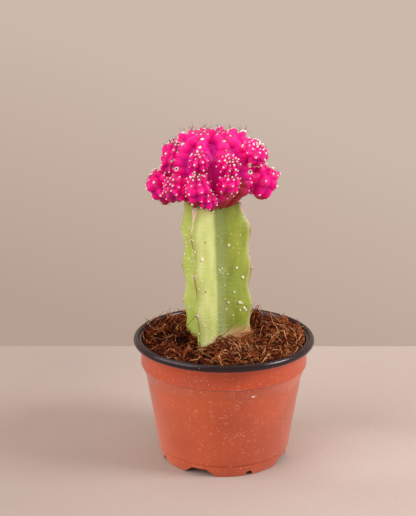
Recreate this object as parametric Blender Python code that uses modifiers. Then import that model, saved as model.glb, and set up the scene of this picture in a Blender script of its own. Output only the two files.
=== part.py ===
"""Grafted moon cactus in a two-tone nursery pot.

A pink, ribbed scion with its crowd of offsets sits on a three-ribbed green rootstock. The rootstock
stands in coir inside a thin thermoformed pot with a rolled rim and a notched foot.
Metres, +Z up. The origin is the centre of the pot's foot, and the front faces -Y.
"""

import math

import bmesh
import bpy
from mathutils import Vector

MM = 0.001
GAP = 0.3 * MM
# Clearances wider than the gap, for faceted surfaces that face each other
HEAD_CLEARANCE = 1.3 * GAP
OFFSET_CLEARANCE = 1.2 * GAP

# Pot
RIM_RADIUS = 50.0 * MM
POT_HEIGHT = 69.7 * MM
BEAD_HALF_WIDTH = 1.6 * MM
BEAD_HALF_HEIGHT = 1.95 * MM
WALL = 1.0 * MM
FOOT_RADIUS = 35.1 * MM
FOOT_LINE_RADIUS = 36.7 * MM
FOOT_LINE_HEIGHT = 6.9 * MM
STEP_LOW = (43.1 * MM, 47.4 * MM)
STEP_HIGH = (45.8 * MM, 54.3 * MM)
COLLAR_TOP = (46.0 * MM, 64.4 * MM)
FLOOR_UNDERSIDE = 4.4 * MM
POT_STEPS = 64

# Foot cut-outs and drain holes. Azimuths run from the front (-Y) towards +X, in degrees.
NOTCH_AZIMUTHS = (-22.5, 67.5, 157.5, 247.5)
NOTCH_HEIGHT = 4.2 * MM
NOTCH_BOTTOM_HALF_ANGLE = 16.0
NOTCH_TOP_HALF_ANGLE = 7.4
ARCH_AZIMUTHS = (22.5, 112.5, 202.5, 292.5)
ARCH_RADIUS = 1.9 * MM
ARCH_TOP = 2.8 * MM
DRAIN_CENTRE_RADIUS = 4.5 * MM
DRAIN_RADIUS = 3.2 * MM
DRAIN_CIRCLE_RADIUS = 22.0 * MM
DRAIN_COUNT = 8

# Coir
COIR_BOTTOM = FLOOR_UNDERSIDE + WALL + GAP
COIR_EDGE_HEIGHT = 64.0 * MM
COIR_HEIGHT = 65.4 * MM
COIR_SEGMENTS = 44
COIR_RINGS = 10
COIR_CLEARANCE = 1.4 * GAP
# Mounds and hollows of the surface: x, y, rise and spread
COIR_LUMPS = (
    (-4 * MM, -16 * MM, 1.4 * MM, 9 * MM),
    (15 * MM, 16 * MM, 8.0 * MM, 8 * MM),
    (30 * MM, -4 * MM, 2.0 * MM, 9 * MM),
    (-31 * MM, 4 * MM, 2.0 * MM, 9 * MM),
    (-12 * MM, 30 * MM, 2.2 * MM, 9 * MM),
    (8 * MM, -33 * MM, 1.2 * MM, 9 * MM),
    (12 * MM, -3 * MM, -3.0 * MM, 7 * MM),
    (-16.5 * MM, -2 * MM, -6.0 * MM, 4.4 * MM),
    (-14 * MM, -17 * MM, -4.0 * MM, 5 * MM),
    (22 * MM, 34 * MM, -4.5 * MM, 9 * MM),
)
COIR_RIPPLE = 0.7 * MM
COIR_RIPPLE_LENGTHS = (3.1 * MM, 3.7 * MM)

# Rootstock
STEM_BOTTOM = 34.0 * MM
SOIL_LEVEL = 67.0 * MM
BEVEL_START = 130.0 * MM
GRAFT_HEIGHT = 144.2 * MM
STEM_AXIS_AT_SOIL = Vector((-5.6 * MM, -0.5 * MM, 0))
STEM_AXIS_AT_GRAFT = Vector((-7.8 * MM, -0.5 * MM, 0))
# Each rib: angle from +X at the soil and at the graft (degrees), radius, and how far the grafter's
# bevel takes it in at the top, as a share of its radius
STEM_RIBS = (
    (-113.0, -123.0, 20.0 * MM, 0.10),
    (9.0, 11.0, 22.6 * MM, 0.18),
    (143.0, 143.0, 20.6 * MM, 0.04),
)
BEVEL_CURVE = 1.5
VALLEY_RADIUS = 7.4 * MM
# Size of the stem's section at its lower end, as a share of that at the soil
BURIED_SHARE = 0.72
# How much further than a gap the ribs and valleys move out, so that the slanting flanks keep the gap
RIB_SWELL = 1.9
VALLEY_SWELL = 1.3
AREOLE_SPACING = 21.2 * MM
AREOLE_PHASE_HEIGHT = 86.0 * MM
CRENATION = 0.85 * MM
RIB_ROUNDING = 3.0 * MM
VALLEY_ROUNDING = 4.5 * MM
STEM_LEVELS = 30

# Scion
HEAD_CENTRE = Vector((-6.9 * MM, 0.0, 162.0 * MM))
HEAD_RADIUS = 23.0 * MM
# The solid has no tubercles on its crown, so it rises to their middle height
HEAD_RISE = 20.6 * MM
HEAD_DROP = 18.8 * MM
HEAD_RIBS = 9
HEAD_FURROW_AZIMUTH = 2.0
HEAD_FURROW_DEPTH = 0.17
# Superellipse powers of the head's upper and lower halves
HEAD_ROUNDNESS = (3.1, 2.5)
HEAD_DIMPLE = 1.8 * MM
# Below 1 the crests are broad and the furrows narrow
CREST_SHARPNESS = 0.75

# Offsets: name, azimuth from the front towards +X, height, distance from the head's axis,
# radius, stretch along their own axis, and the elevation that their crown points to.
OFFSETS = (
    ("offset_front_left_upper", -16, 170.8, 24.0, 4.2, 1.60, 66),
    ("offset_front_left_lower", -16, 157.4, 25.6, 6.5, 1.42, 70),
    ("offset_front_left_bud", -5, 151.8, 24.8, 4.6, 1.10, 75),
    ("offset_front_right_upper", 21, 169.6, 23.8, 5.1, 1.10, 42),
    ("offset_front_right_lower", 22, 159.8, 24.0, 5.2, 1.20, 62),
    ("offset_left_upper", -72, 170.6, 21.6, 5.5, 1.70, 108),
    ("offset_left_lower", -91, 154.6, 25.6, 8.6, 1.12, 50),
    ("offset_left_front_lower", -47, 156.6, 25.0, 6.9, 1.05, 22),
    ("offset_right_upper", 66, 173.2, 24.8, 7.0, 0.82, 62),
    ("offset_right_lower", 85, 156.8, 26.0, 8.9, 1.12, 60),
    ("offset_back_left_upper", -169, 174.4, 21.6, 6.0, 1.12, 52),
    ("offset_back_right_upper", 161, 174.4, 21.4, 5.6, 1.10, 50),
    ("offset_back_left_lower", -137, 157.4, 26.0, 7.7, 1.10, 25),
    ("offset_back_lower", 180, 158.4, 25.6, 6.8, 1.08, 15),
    ("offset_back_right_lower", 137, 156.4, 26.0, 8.0, 1.08, 20),
    ("offset_left_back_upper", -116, 171.0, 21.6, 5.6, 1.15, 45),
    ("offset_right_back_upper", 112, 170.6, 24.0, 6.4, 1.12, 42),
)
OFFSET_RIBS = 8
OFFSET_FURROW_DEPTH = 0.13
OFFSET_TUBERCLES = 4.5
OFFSET_TUBERCLE_DEPTH = 0.07

COLOURS = {
    "pot_plastic": ((0.55, 0.11, 0.035, 1), 0.42),
    "coir": ((0.13, 0.035, 0.015, 1), 0.95),
    "green_stem": ((0.42, 0.48, 0.12, 1), 0.5),
    "pink_scion": ((0.80, 0.006, 0.17, 1), 0.5),
    "pink_offset": ((0.84, 0.008, 0.20, 1), 0.5),
}


def make_collection(name):
    collection = bpy.data.collections.new(name)
    bpy.context.scene.collection.children.link(collection)
    return collection


def make_material(name):
    colour, roughness = COLOURS[name]
    material = bpy.data.materials.new(name)
    material.use_nodes = True
    shader = material.node_tree.nodes["Principled BSDF"]
    shader.inputs["Base Color"].default_value = colour
    shader.inputs["Roughness"].default_value = roughness
    shader.inputs["Metallic"].default_value = 0.0
    material.diffuse_color = colour
    return material


def add_object(name, bm, collection, material=None):
    """Turn a bmesh into a smooth-shaded object."""
    mesh = bpy.data.meshes.new(name)
    bm.to_mesh(mesh)
    bm.free()
    mesh.shade_smooth()
    mesh.set_sharp_from_angle(angle=math.radians(35))
    item = bpy.data.objects.new(name, mesh)
    collection.objects.link(item)
    if material:
        mesh.materials.append(material)
    return item


def as_cutter(item):
    item.hide_render = True
    item.display_type = "WIRE"
    return item


def cut(item, cutter):
    modifier = item.modifiers.new("cut_" + cutter.name, "BOOLEAN")
    modifier.operation = "DIFFERENCE"
    modifier.object = cutter


def outward(azimuth):
    """Horizontal direction for an azimuth in degrees, from the front (-Y) towards +X."""
    angle = math.radians(azimuth)
    return Vector((math.sin(angle), -math.cos(angle), 0))


def loft(rings):
    """Closed skin over rings of equal point counts, listed from the bottom up, anticlockwise."""
    bm = bmesh.new()
    rows = [[bm.verts.new(point) for point in ring] for ring in rings]
    count = len(rows[0])
    for lower, upper in zip(rows, rows[1:]):
        for i in range(count):
            j = (i + 1) % count
            bm.faces.new((lower[i], lower[j], upper[j], upper[i]))
    bm.faces.new(list(reversed(rows[0])))
    bm.faces.new(rows[-1])
    return bm


# Pot ------------------------------------------------------------------------------------------------

def bead_arc(first, last, count):
    """Points of the rolled rim, as an ellipse between two angles in degrees."""
    centre_r = RIM_RADIUS - BEAD_HALF_WIDTH
    centre_z = POT_HEIGHT - BEAD_HALF_HEIGHT
    points = []
    for i in range(count):
        angle = math.radians(first + (last - first) * i / (count - 1))
        points.append((
            centre_r + BEAD_HALF_WIDTH * math.cos(angle),
            centre_z + BEAD_HALF_HEIGHT * math.sin(angle),
        ))
    return points


def pot_outline():
    """Half section: along the floor, up the inside, over the rim and down the outside."""
    floor_top = FLOOR_UNDERSIDE + WALL
    inner_floor_radius = FOOT_LINE_RADIUS - WALL - 0.6 * MM
    shoulder = POT_HEIGHT - 1.3 * MM
    inside = [
        (0, floor_top),
        (inner_floor_radius - 1.2 * MM, floor_top),
        (inner_floor_radius, floor_top + 0.9 * MM),
        (STEP_LOW[0] - WALL, STEP_LOW[1] + 0.2 * MM),
        (STEP_HIGH[0] - WALL, STEP_HIGH[1] + 0.2 * MM),
        (COLLAR_TOP[0] - WALL, shoulder - 0.6 * MM),
        (COLLAR_TOP[0] - 0.5 * MM, shoulder),
    ]
    outside = [
        (COLLAR_TOP[0] + 0.5 * MM, COLLAR_TOP[1] + 0.6 * MM),
        COLLAR_TOP,
        STEP_HIGH,
        STEP_LOW,
        (FOOT_LINE_RADIUS + 0.15 * MM, FOOT_LINE_HEIGHT + 0.3 * MM),
        (FOOT_LINE_RADIUS - 0.1 * MM, FOOT_LINE_HEIGHT - 0.1 * MM),
        (FOOT_RADIUS, 0.3 * MM),
        (FOOT_RADIUS - 0.3 * MM, 0),
        (FOOT_RADIUS - 1.3 * MM, 0),
        (FOOT_RADIUS - 0.5 * MM, FLOOR_UNDERSIDE),
        (0, FLOOR_UNDERSIDE),
    ]
    return inside + bead_arc(168, -115, 11) + outside


def notch_half_width(height):
    """Half width of a wide notch, which narrows upwards along straight sides."""
    up = height / NOTCH_HEIGHT
    angle = NOTCH_BOTTOM_HALF_ANGLE * (1 - up) + NOTCH_TOP_HALF_ANGLE * up
    return FOOT_RADIUS * math.sin(math.radians(angle))


def foot_cutouts(collection):
    """Eight cut-outs round the foot: four wide notches and four small arches."""
    bm = bmesh.new()
    depth = 3.0 * MM
    for azimuth in NOTCH_AZIMUTHS:
        facing = outward(azimuth)
        aside = Vector((-facing.y, facing.x, 0))
        for vert in bmesh.ops.create_cube(bm, size=2.0)["verts"]:
            height = NOTCH_HEIGHT if vert.co.z > 0 else -MM
            sideways = vert.co.x * notch_half_width(height)
            outwards = FOOT_RADIUS + vert.co.y * depth
            vert.co = facing * outwards + aside * sideways + Vector((0, 0, height))
    for azimuth in ARCH_AZIMUTHS:
        facing = outward(azimuth)
        made = bmesh.ops.create_cone(
            bm, cap_ends=True, segments=20, radius1=ARCH_RADIUS, radius2=ARCH_RADIUS, depth=2 * depth)
        turn = Vector((0, 0, 1)).rotation_difference(facing)
        for vert in made["verts"]:
            vert.co = turn @ vert.co + facing * FOOT_RADIUS + Vector((0, 0, ARCH_TOP - ARCH_RADIUS))
    bmesh.ops.recalc_face_normals(bm, faces=bm.faces)
    return as_cutter(add_object("foot_cutouts", bm, collection))


def drain_holes(collection):
    bm = bmesh.new()
    places = [(Vector((0, 0, 0)), DRAIN_CENTRE_RADIUS)]
    for i in range(DRAIN_COUNT):
        places.append((outward(360 * i / DRAIN_COUNT) * DRAIN_CIRCLE_RADIUS, DRAIN_RADIUS))
    for place, radius in places:
        made = bmesh.ops.create_cone(
            bm, cap_ends=True, segments=20, radius1=radius, radius2=radius, depth=4 * WALL)
        for vert in made["verts"]:
            vert.co += place + Vector((0, 0, FLOOR_UNDERSIDE + WALL / 2))
    return as_cutter(add_object("drain_holes", bm, collection))


def make_pot(parts, cutters):
    bm = bmesh.new()
    chain = [bm.verts.new((radius, 0, height)) for radius, height in pot_outline()]
    for first, second in zip(chain, chain[1:]):
        bm.edges.new((first, second))
    pot = add_object("nursery_pot", bm, parts, make_material("pot_plastic"))
    turning = pot.modifiers.new("turning", "SCREW")
    turning.steps = POT_STEPS
    turning.render_steps = POT_STEPS
    turning.use_merge_vertices = True
    turning.merge_threshold = 0.01 * MM
    cut(pot, foot_cutouts(cutters))
    cut(pot, drain_holes(cutters))


# Rootstock ------------------------------------------------------------------------------------------

def rounded_outline(corners, roundings, corner_steps, flank_steps):
    """Closed outline whose corners are eased with quadratic arcs of the given lengths."""
    count = len(corners)
    points = []
    for i, corner in enumerate(corners):
        before = corners[i - 1]
        after = corners[(i + 1) % count]
        start = corner + (before - corner).normalized() * roundings[i]
        end = corner + (after - corner).normalized() * roundings[i]
        for step in range(corner_steps):
            t = step / (corner_steps - 1)
            points.append(start * (1 - t) ** 2 + corner * 2 * t * (1 - t) + end * t ** 2)
        following = after + (corner - after).normalized() * roundings[(i + 1) % count]
        for step in range(1, flank_steps + 1):
            points.append(end.lerp(following, step / (flank_steps + 1)))
    return points


def stem_size(height, bevel):
    """Scale of a rib's reach: less in the coir, and bevelled in under the graft."""
    if height < SOIL_LEVEL:
        up = (height - STEM_BOTTOM) / (SOIL_LEVEL - STEM_BOTTOM)
        return BURIED_SHARE + (1 - BURIED_SHARE) * math.sin(math.pi / 2 * up)
    if height > BEVEL_START:
        up = (height - BEVEL_START) / (GRAFT_HEIGHT - BEVEL_START)
        return 1.0 - bevel * up ** BEVEL_CURVE
    return 1.0


def stem_section(height, swell=0.0):
    """Outline of the three-ribbed stem at one height, grown outwards by swell."""
    up = (height - SOIL_LEVEL) / (GRAFT_HEIGHT - SOIL_LEVEL)
    centre = STEM_AXIS_AT_SOIL.lerp(STEM_AXIS_AT_GRAFT, up)
    centre.z = height
    wave = math.cos(2 * math.pi * (height - AREOLE_PHASE_HEIGHT) / AREOLE_SPACING)
    clamped = min(max(up, -0.1), 1.0)
    angles = [math.radians(low + (high - low) * clamped) for low, high, radius, bevel in STEM_RIBS]
    valley = VALLEY_RADIUS * (0.4 + 0.6 * stem_size(height, 0.0)) + swell * VALLEY_SWELL
    corners = []
    for i, (low, high, radius, bevel) in enumerate(STEM_RIBS):
        reach = (radius + CRENATION * wave) * stem_size(height, bevel) + swell * RIB_SWELL
        corners.append(centre + Vector((math.cos(angles[i]), math.sin(angles[i]), 0)) * reach)
        following = angles[(i + 1) % 3] + (2 * math.pi if i == 2 else 0)
        middle = (angles[i] + following) / 2
        corners.append(centre + Vector((math.cos(middle), math.sin(middle), 0)) * valley)
    return rounded_outline(corners, (RIB_ROUNDING, VALLEY_ROUNDING) * 3, 4, 1)


def stem_rings(bottom, top, swell=0.0):
    rings = []
    for i in range(STEM_LEVELS):
        rings.append(stem_section(bottom + (top - bottom) * i / (STEM_LEVELS - 1), swell))
    return rings


def make_rootstock(parts):
    skin = loft(stem_rings(STEM_BOTTOM, GRAFT_HEIGHT))
    add_object("rootstock", skin, parts, make_material("green_stem"))


# Coir -----------------------------------------------------------------------------------------------

def coir_surface(x, y):
    """Height of the coir's top at a point, with its mounds, hollows and small ripples."""
    height = COIR_HEIGHT
    for lump_x, lump_y, rise, spread in COIR_LUMPS:
        height += rise * math.exp(-((x - lump_x) ** 2 + (y - lump_y) ** 2) / (2 * spread ** 2))
    along_x, along_y = COIR_RIPPLE_LENGTHS
    return height + COIR_RIPPLE * math.sin(x / along_x + 0.6) * math.cos(y / along_y)


def make_coir(parts, cutters):
    clearance = WALL + COIR_CLEARANCE
    side = [
        (FOOT_LINE_RADIUS - clearance - 2.6 * MM, COIR_BOTTOM),
        (FOOT_LINE_RADIUS - clearance - 0.3 * MM, COIR_BOTTOM + 1.6 * MM),
        (STEP_LOW[0] - clearance, STEP_LOW[1]),
        (STEP_HIGH[0] - clearance, STEP_HIGH[1] + 1.0 * MM),
        (COLLAR_TOP[0] - clearance, COIR_EDGE_HEIGHT - 1.0 * MM),
    ]
    edge_radius = COLLAR_TOP[0] - clearance
    rings = []
    for radius, height in side:
        ring = []
        for i in range(COIR_SEGMENTS):
            angle = 2 * math.pi * i / COIR_SEGMENTS
            ring.append(Vector((radius * math.cos(angle), radius * math.sin(angle), height)))
        rings.append(ring)
    for step in range(COIR_RINGS):
        radius = edge_radius * (1 - (step + 0.35) / COIR_RINGS)
        ring = []
        for i in range(COIR_SEGMENTS):
            angle = 2 * math.pi * i / COIR_SEGMENTS
            x = radius * math.cos(angle)
            y = radius * math.sin(angle)
            ring.append(Vector((x, y, coir_surface(x, y))))
        rings.append(ring)
    coir = add_object("coir_fill", loft(rings), parts, make_material("coir"))
    socket = loft(stem_rings(STEM_BOTTOM - GAP, POT_HEIGHT + 20 * MM, GAP))
    cut(coir, as_cutter(add_object("stem_socket", socket, cutters)))


# Scion and offsets ----------------------------------------------------------------------------------

def furrowed(azimuth, ribs, depth, fade):
    """Share of the full radius left at an azimuth, between crest (1) and furrow (1 - depth)."""
    crest = abs(math.cos(ribs * azimuth / 2)) ** CREST_SHARPNESS
    return 1 - depth * fade * (1 - crest)


def head_point(direction, swell=0.0):
    """Point of the mother head's surface along a unit direction."""
    flat = math.hypot(direction.x, direction.y)
    rise = HEAD_RISE if direction.z > 0 else HEAD_DROP
    power = HEAD_ROUNDNESS[0] if direction.z > 0 else HEAD_ROUNDNESS[1]
    reach = ((flat / HEAD_RADIUS) ** power + (abs(direction.z) / rise) ** power) ** (-1 / power)
    azimuth = math.atan2(direction.x, -direction.y) - math.radians(HEAD_FURROW_AZIMUTH + 180 / HEAD_RIBS)
    reach *= furrowed(azimuth, HEAD_RIBS, HEAD_FURROW_DEPTH, min(1.0, flat * 1.3))
    point = direction * (reach + swell)
    dimple = HEAD_DIMPLE * math.exp(-(flat * 4.2) ** 2) if direction.z > 0 else 0
    return HEAD_CENTRE + point - Vector((0, 0, dimple))


def head_mesh(swell=0.0):
    bm = bmesh.new()
    bmesh.ops.create_uvsphere(bm, u_segments=HEAD_RIBS * 4, v_segments=18, radius=1.0)
    for vert in bm.verts:
        vert.co = head_point(vert.co.normalized(), swell)
    return bm


def make_head(parts, cutters):
    head = add_object("scion_head", head_mesh(), parts, make_material("pink_scion"))
    slab = bmesh.new()
    bmesh.ops.create_cube(slab, size=2 * HEAD_RADIUS)
    level = GRAFT_HEIGHT + GAP - HEAD_RADIUS
    for vert in slab.verts:
        vert.co += Vector((HEAD_CENTRE.x, HEAD_CENTRE.y, level))
    cut(head, as_cutter(add_object("graft_plane", slab, cutters)))


def offset_mesh(azimuth, height, distance, radius, stretch, pointing, swell=0.0):
    """Ribbed, tubercled ball on the head's flank, its crown pointing out and up."""
    facing = outward(azimuth)
    lift = math.radians(pointing)
    axis = facing * math.cos(lift) + Vector((0, 0, math.sin(lift)))
    turn = Vector((0, 0, 1)).rotation_difference(axis)
    centre = Vector((HEAD_CENTRE.x, HEAD_CENTRE.y, height * MM)) + facing * distance * MM
    bm = bmesh.new()
    bmesh.ops.create_uvsphere(bm, u_segments=OFFSET_RIBS * 2, v_segments=10, radius=1.0)
    for vert in bm.verts:
        direction = vert.co.normalized()
        around = math.atan2(direction.y, direction.x)
        down = math.acos(max(-1.0, min(1.0, direction.z)))
        share = furrowed(around, OFFSET_RIBS, OFFSET_FURROW_DEPTH, math.sin(down))
        groove = abs(math.sin(OFFSET_TUBERCLES * down))
        share -= OFFSET_TUBERCLE_DEPTH * groove * math.sin(down)
        local = direction * (radius * MM * share + swell)
        local.z *= stretch
        vert.co = centre + turn @ local
    return bm


def boxes_meet(first, second):
    """True where two meshes' boxes overlap or come within the gap."""
    for axis in range(3):
        first_values = [vert.co[axis] for vert in first.data.vertices]
        second_values = [vert.co[axis] for vert in second.data.vertices]
        if min(first_values) > max(second_values) + GAP or min(second_values) > max(first_values) + GAP:
            return False
    return True


def make_offsets(parts, cutters):
    material = make_material("pink_offset")
    mother = as_cutter(add_object("head_clearance", head_mesh(HEAD_CLEARANCE), cutters))
    placed = []
    for name, *shape in OFFSETS:
        item = add_object(name, offset_mesh(*shape), parts, material)
        cut(item, mother)
        for neighbour in placed:
            if boxes_meet(item, neighbour):
                cut(item, neighbour)
        clearance = add_object(name + "_clearance", offset_mesh(*shape, swell=OFFSET_CLEARANCE), cutters)
        placed.append(as_cutter(clearance))


def main():
    for item in list(bpy.data.objects):
        bpy.data.objects.remove(item, do_unlink=True)
    parts = make_collection("potted_moon_cactus")
    cutters = make_collection("cutters")
    make_pot(parts, cutters)
    make_rootstock(parts)
    make_coir(parts, cutters)
    make_head(parts, cutters)
    make_offsets(parts, cutters)


main()
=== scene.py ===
"""Looks of the potted moon cactus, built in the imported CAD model's frame.

Everything is modelled in millimetres as numpy points and written to meshes in metres. Azimuths are
in degrees and run from the front (-Y) towards +X.
"""

import math

import bmesh
import bpy
import numpy as np
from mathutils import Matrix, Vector


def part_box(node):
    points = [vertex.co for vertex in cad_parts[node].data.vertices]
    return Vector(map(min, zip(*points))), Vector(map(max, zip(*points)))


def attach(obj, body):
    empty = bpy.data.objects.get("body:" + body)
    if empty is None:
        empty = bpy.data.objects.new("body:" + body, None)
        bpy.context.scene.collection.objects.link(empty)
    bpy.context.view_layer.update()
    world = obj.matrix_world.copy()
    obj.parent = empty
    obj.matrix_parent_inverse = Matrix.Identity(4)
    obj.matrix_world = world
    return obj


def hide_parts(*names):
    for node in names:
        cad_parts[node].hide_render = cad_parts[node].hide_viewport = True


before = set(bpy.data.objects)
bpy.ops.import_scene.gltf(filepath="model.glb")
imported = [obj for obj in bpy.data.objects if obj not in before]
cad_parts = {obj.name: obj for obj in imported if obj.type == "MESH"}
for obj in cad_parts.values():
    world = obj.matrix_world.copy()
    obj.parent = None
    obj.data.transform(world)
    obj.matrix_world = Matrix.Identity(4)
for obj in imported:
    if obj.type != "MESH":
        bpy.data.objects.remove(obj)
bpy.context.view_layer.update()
MM = 0.001


def box_mm(node):
    """Lowest and highest corner of a CAD node, in millimetres."""
    low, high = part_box(node)
    return np.array(low) / MM, np.array(high) / MM


# Pot, close to the CAD model but with a thinner wall. Its rim and height come from the frame.
POT_LOW, POT_HIGH = box_mm("nursery_pot")
RIM_RADIUS = (POT_HIGH[0] - POT_LOW[0]) / 2
POT_HEIGHT = POT_HIGH[2]
BEAD_HALF_WIDTH = 1.6
BEAD_HALF_HEIGHT = 1.95
WALL = 0.8
FOOT_RADIUS = 35.1
FOOT_LINE = (36.7, 6.9)
STEP_LOW = (43.1, 47.4)
STEP_HIGH = (45.8, 54.3)
COLLAR_TOP = (46.0, 64.4)
FLOOR_UNDERSIDE = 4.4
POT_STEPS = 192
NOTCH_AZIMUTHS = (-22.5, 67.5, 157.5, 247.5)
NOTCH_HEIGHT = 4.2
NOTCH_HALF_ANGLES = (16.0, 7.4)
ARCH_AZIMUTHS = (22.5, 112.5, 202.5, 292.5)
ARCH_RADIUS = 1.9
ARCH_TOP = 2.8
DRAIN_CENTRE_RADIUS = 4.5
DRAIN_RADIUS = 3.2
DRAIN_CIRCLE_RADIUS = 22.0
DRAIN_COUNT = 8

# Rootstock, close to the CAD model. Each rib: angle from +X at the soil and at the graft, radius, and
# how far the grafter's bevel takes it in at the top, as a share of its radius.
STEM_BOTTOM = box_mm("rootstock")[0][2]
GRAFT_HEIGHT = box_mm("rootstock")[1][2]
SOIL_LEVEL = 67.0
BEVEL_START = 130.0
AXIS_AT_SOIL = np.array([-5.6, -0.5])
AXIS_AT_GRAFT = np.array([-7.8, -0.5])
STEM_RIBS = ((-113.0, -123.0, 20.0, 0.10), (9.0, 11.0, 22.6, 0.18), (143.0, 143.0, 20.6, 0.04))
VALLEY_RADIUS = 7.4
AREOLE_SPACING = 21.2
AREOLE_HEIGHTS = ((86.3, 107.9, 127.9), (86.0, 107.1, 128.2), (86.0, 106.7, 127.9))
AREOLE_PHASE_HEIGHT = 86.0
CRENATION = 0.85
RIB_ROUNDING = 3.0
VALLEY_ROUNDING = 3.2
STEM_ROWS = 300
CORNER_STEPS = 13
FLANK_STEPS = 10
SECTION_STEP = CORNER_STEPS + FLANK_STEPS
# Size of the stem's section at its lower end, as a share of that at the soil
BURIED_SHARE = 0.72
BEVEL_CURVE = 1.5
# How much further than a clearance the ribs and valleys move out, because the flanks slant
RIB_SWELL = 1.9
VALLEY_SWELL = 1.3
# Warts that stand out on the front: x, height and radius
FRONT_WARTS = (
    (2.5, 122, 0.75), (6.5, 109, 0.7), (10.5, 103, 0.85), (1.5, 106, 0.45), (5.5, 95, 0.6),
    (2, 89.5, 0.6), (8.5, 89, 0.95), (10, 88, 0.6), (11.5, 85.2, 0.8), (12.2, 83.8, 0.6),
    (9, 84.5, 0.55), (1, 86, 0.5), (4.5, 82, 0.45), (9, 127, 0.45), (10.5, 136, 0.5),
    (-12.5, 117, 1.0), (-11.5, 105, 0.45), (-13, 101, 0.4), (-11, 81, 0.45),
    (-20.5, 121, 0.55), (-21.3, 113.5, 0.6), (-19.2, 112, 0.6), (-19.7, 106, 0.5),
    (-19, 130, 0.5), (-18.6, 84, 0.5),
)
WART_GROUPS = 75
# Dark spots on the front: height, and steps along the skin from where the front valley starts
DARK_SPOTS = ((99.0, -8), (82.0, 26), (86.0, 21), (126.0, -6))
FLANK_BULGE = 1.0

# Scion. Its crown is lower and its furrows shallower than the CAD model's, which has no tubercles.
HEAD_CENTRE = np.array([-6.9, 0.0, 162.0])
HEAD_RADIUS = 23.0
HEAD_RISE = 18.0
HEAD_DROP = 18.8
HEAD_RIBS = 9
HEAD_FURROW_AZIMUTH = 2.0
HEAD_FURROW_DEPTH = 0.075
# Superellipse powers of the head's upper and lower halves
HEAD_ROUNDNESS = (3.1, 2.5)
HEAD_DIMPLE = 1.6
# Below 1 the crests are broad and the furrows narrow
CREST_SHARPNESS = 0.75
# Polar angles of the mother's areoles on each rib, from the crown down
HEAD_AREOLES = {
    -20: (13, 34, 49, 61, 73, 85, 97),
    22: (18, 40, 54, 66, 78, 90, 102, 112),
    60: (27, 51, 63, 75, 87, 99, 110),
    102: (20, 39, 57, 69, 81, 93),
    142: (15, 33, 49, 62, 75, 88, 100),
    182: (22, 40, 55, 68, 81, 94),
    -138: (13, 34, 50, 64, 77, 90, 102),
    -98: (24, 43, 58, 71, 84, 97),
    -56: (22, 46, 60, 70, 80, 90, 100),
}
# Finger-like tubercles of the crown: azimuth, polar angle, half width and height
HEAD_FINGERS = (
    (101, 40.5, 2.3, 3.2), (114, 31, 2.8, 3.4), (-97, 40, 2.5, 2.2), (-120, 31, 2.5, 2.8),
    (75, 19, 2.8, 2.0), (-150, 24, 2.4, 2.8), (155, 26, 2.5, 3.4), (-45, 24, 2.8, 1.6),
)
# Old scars with a black eye: azimuth, polar angle and radius
HEAD_SCARS = ((57, 75.5, 1.35), (57, 85, 1.35), (57, 94, 0.7), (-50, 80, 1.2), (150, 82, 1.1))

# Offsets, after the CAD model: azimuth, height, distance from the head's axis, radius, stretch
# along their own axis, elevation of their crown, the size of their tubercles, ribs and random seed.
OFFSETS = {
    "offset_front_left_upper": (-16, 170.8, 24.0, 4.2, 1.6, 66, 3.3, 7, 201),
    "offset_front_left_lower": (-16, 157.4, 25.6, 6.5, 1.42, 70, 4.0, 8, 302),
    "offset_front_left_bud": (-5, 151.8, 24.8, 4.6, 1.1, 75, 3.2, 7, 3),
    "offset_front_right_upper": (21, 169.6, 23.8, 5.1, 1.10, 42, 3.2, 9, 104),
    "offset_front_right_lower": (22, 159.8, 24.0, 5.2, 1.2, 62, 3.6, 7, 5),
    "offset_left_upper": (-72, 170.6, 21.6, 5.5, 1.7, 108, 3.4, 8, 106),
    "offset_left_lower": (-91, 154.6, 25.6, 8.6, 1.12, 50, 5.6, 8, 7),
    "offset_left_front_lower": (-47, 156.6, 25.0, 6.9, 1.05, 22, 4.2, 8, 8),
    "offset_right_upper": (66, 173.2, 24.8, 7.0, 0.82, 62, 3.5, 9, 509),
    "offset_right_lower": (85, 156.8, 26.0, 8.9, 1.12, 60, 6.6, 7, 210),
    "offset_back_left_upper": (-169, 174.4, 21.6, 6.0, 1.12, 52, 3.8, 8, 11),
    "offset_back_right_upper": (161, 174.4, 21.4, 5.6, 1.10, 50, 3.8, 8, 12),
    "offset_back_left_lower": (-137, 157.4, 26.0, 7.7, 1.10, 25, 5.0, 8, 13),
    "offset_back_lower": (180, 158.4, 25.6, 6.8, 1.08, 15, 4.6, 8, 14),
    "offset_back_right_lower": (137, 156.4, 26.0, 8.0, 1.08, 20, 5.2, 8, 15),
    "offset_left_back_upper": (-116, 171.0, 21.6, 5.6, 1.15, 45, 4.0, 7, 16),
    "offset_right_back_upper": (112, 170.6, 24.0, 6.4, 1.12, 42, 4.0, 8, 17),
}


# Small helpers --------------------------------------------------------------------------------------

def outward(azimuth):
    """Horizontal unit vector of an azimuth."""
    angle = math.radians(azimuth)
    return np.array([math.sin(angle), -math.cos(angle), 0.0])


def unit(vectors):
    return vectors / np.linalg.norm(vectors, axis=-1, keepdims=True)


def strides(turn):
    """Unit steps in plan along headings given as angles."""
    return np.stack([np.cos(turn), np.sin(turn)], axis=-1)


def ease(low, high, value):
    """Smooth step from 0 at low to 1 at high."""
    share = np.clip((value - low) / (high - low), 0, 1)
    return share * share * (3 - 2 * share)


def ripple(points, size, seed, waves=14):
    """Smooth random relief, about -1 to 1, with features of the given size."""
    rng = np.random.default_rng(seed)
    directions = unit(rng.normal(size=(waves, points.shape[-1])))
    directions *= 2 * math.pi / size * rng.uniform(0.6, 1.4, (waves, 1))
    phases = rng.uniform(0, 2 * math.pi, waves)
    return np.sin(points @ directions.T + phases).sum(axis=-1) / math.sqrt(waves)


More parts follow.
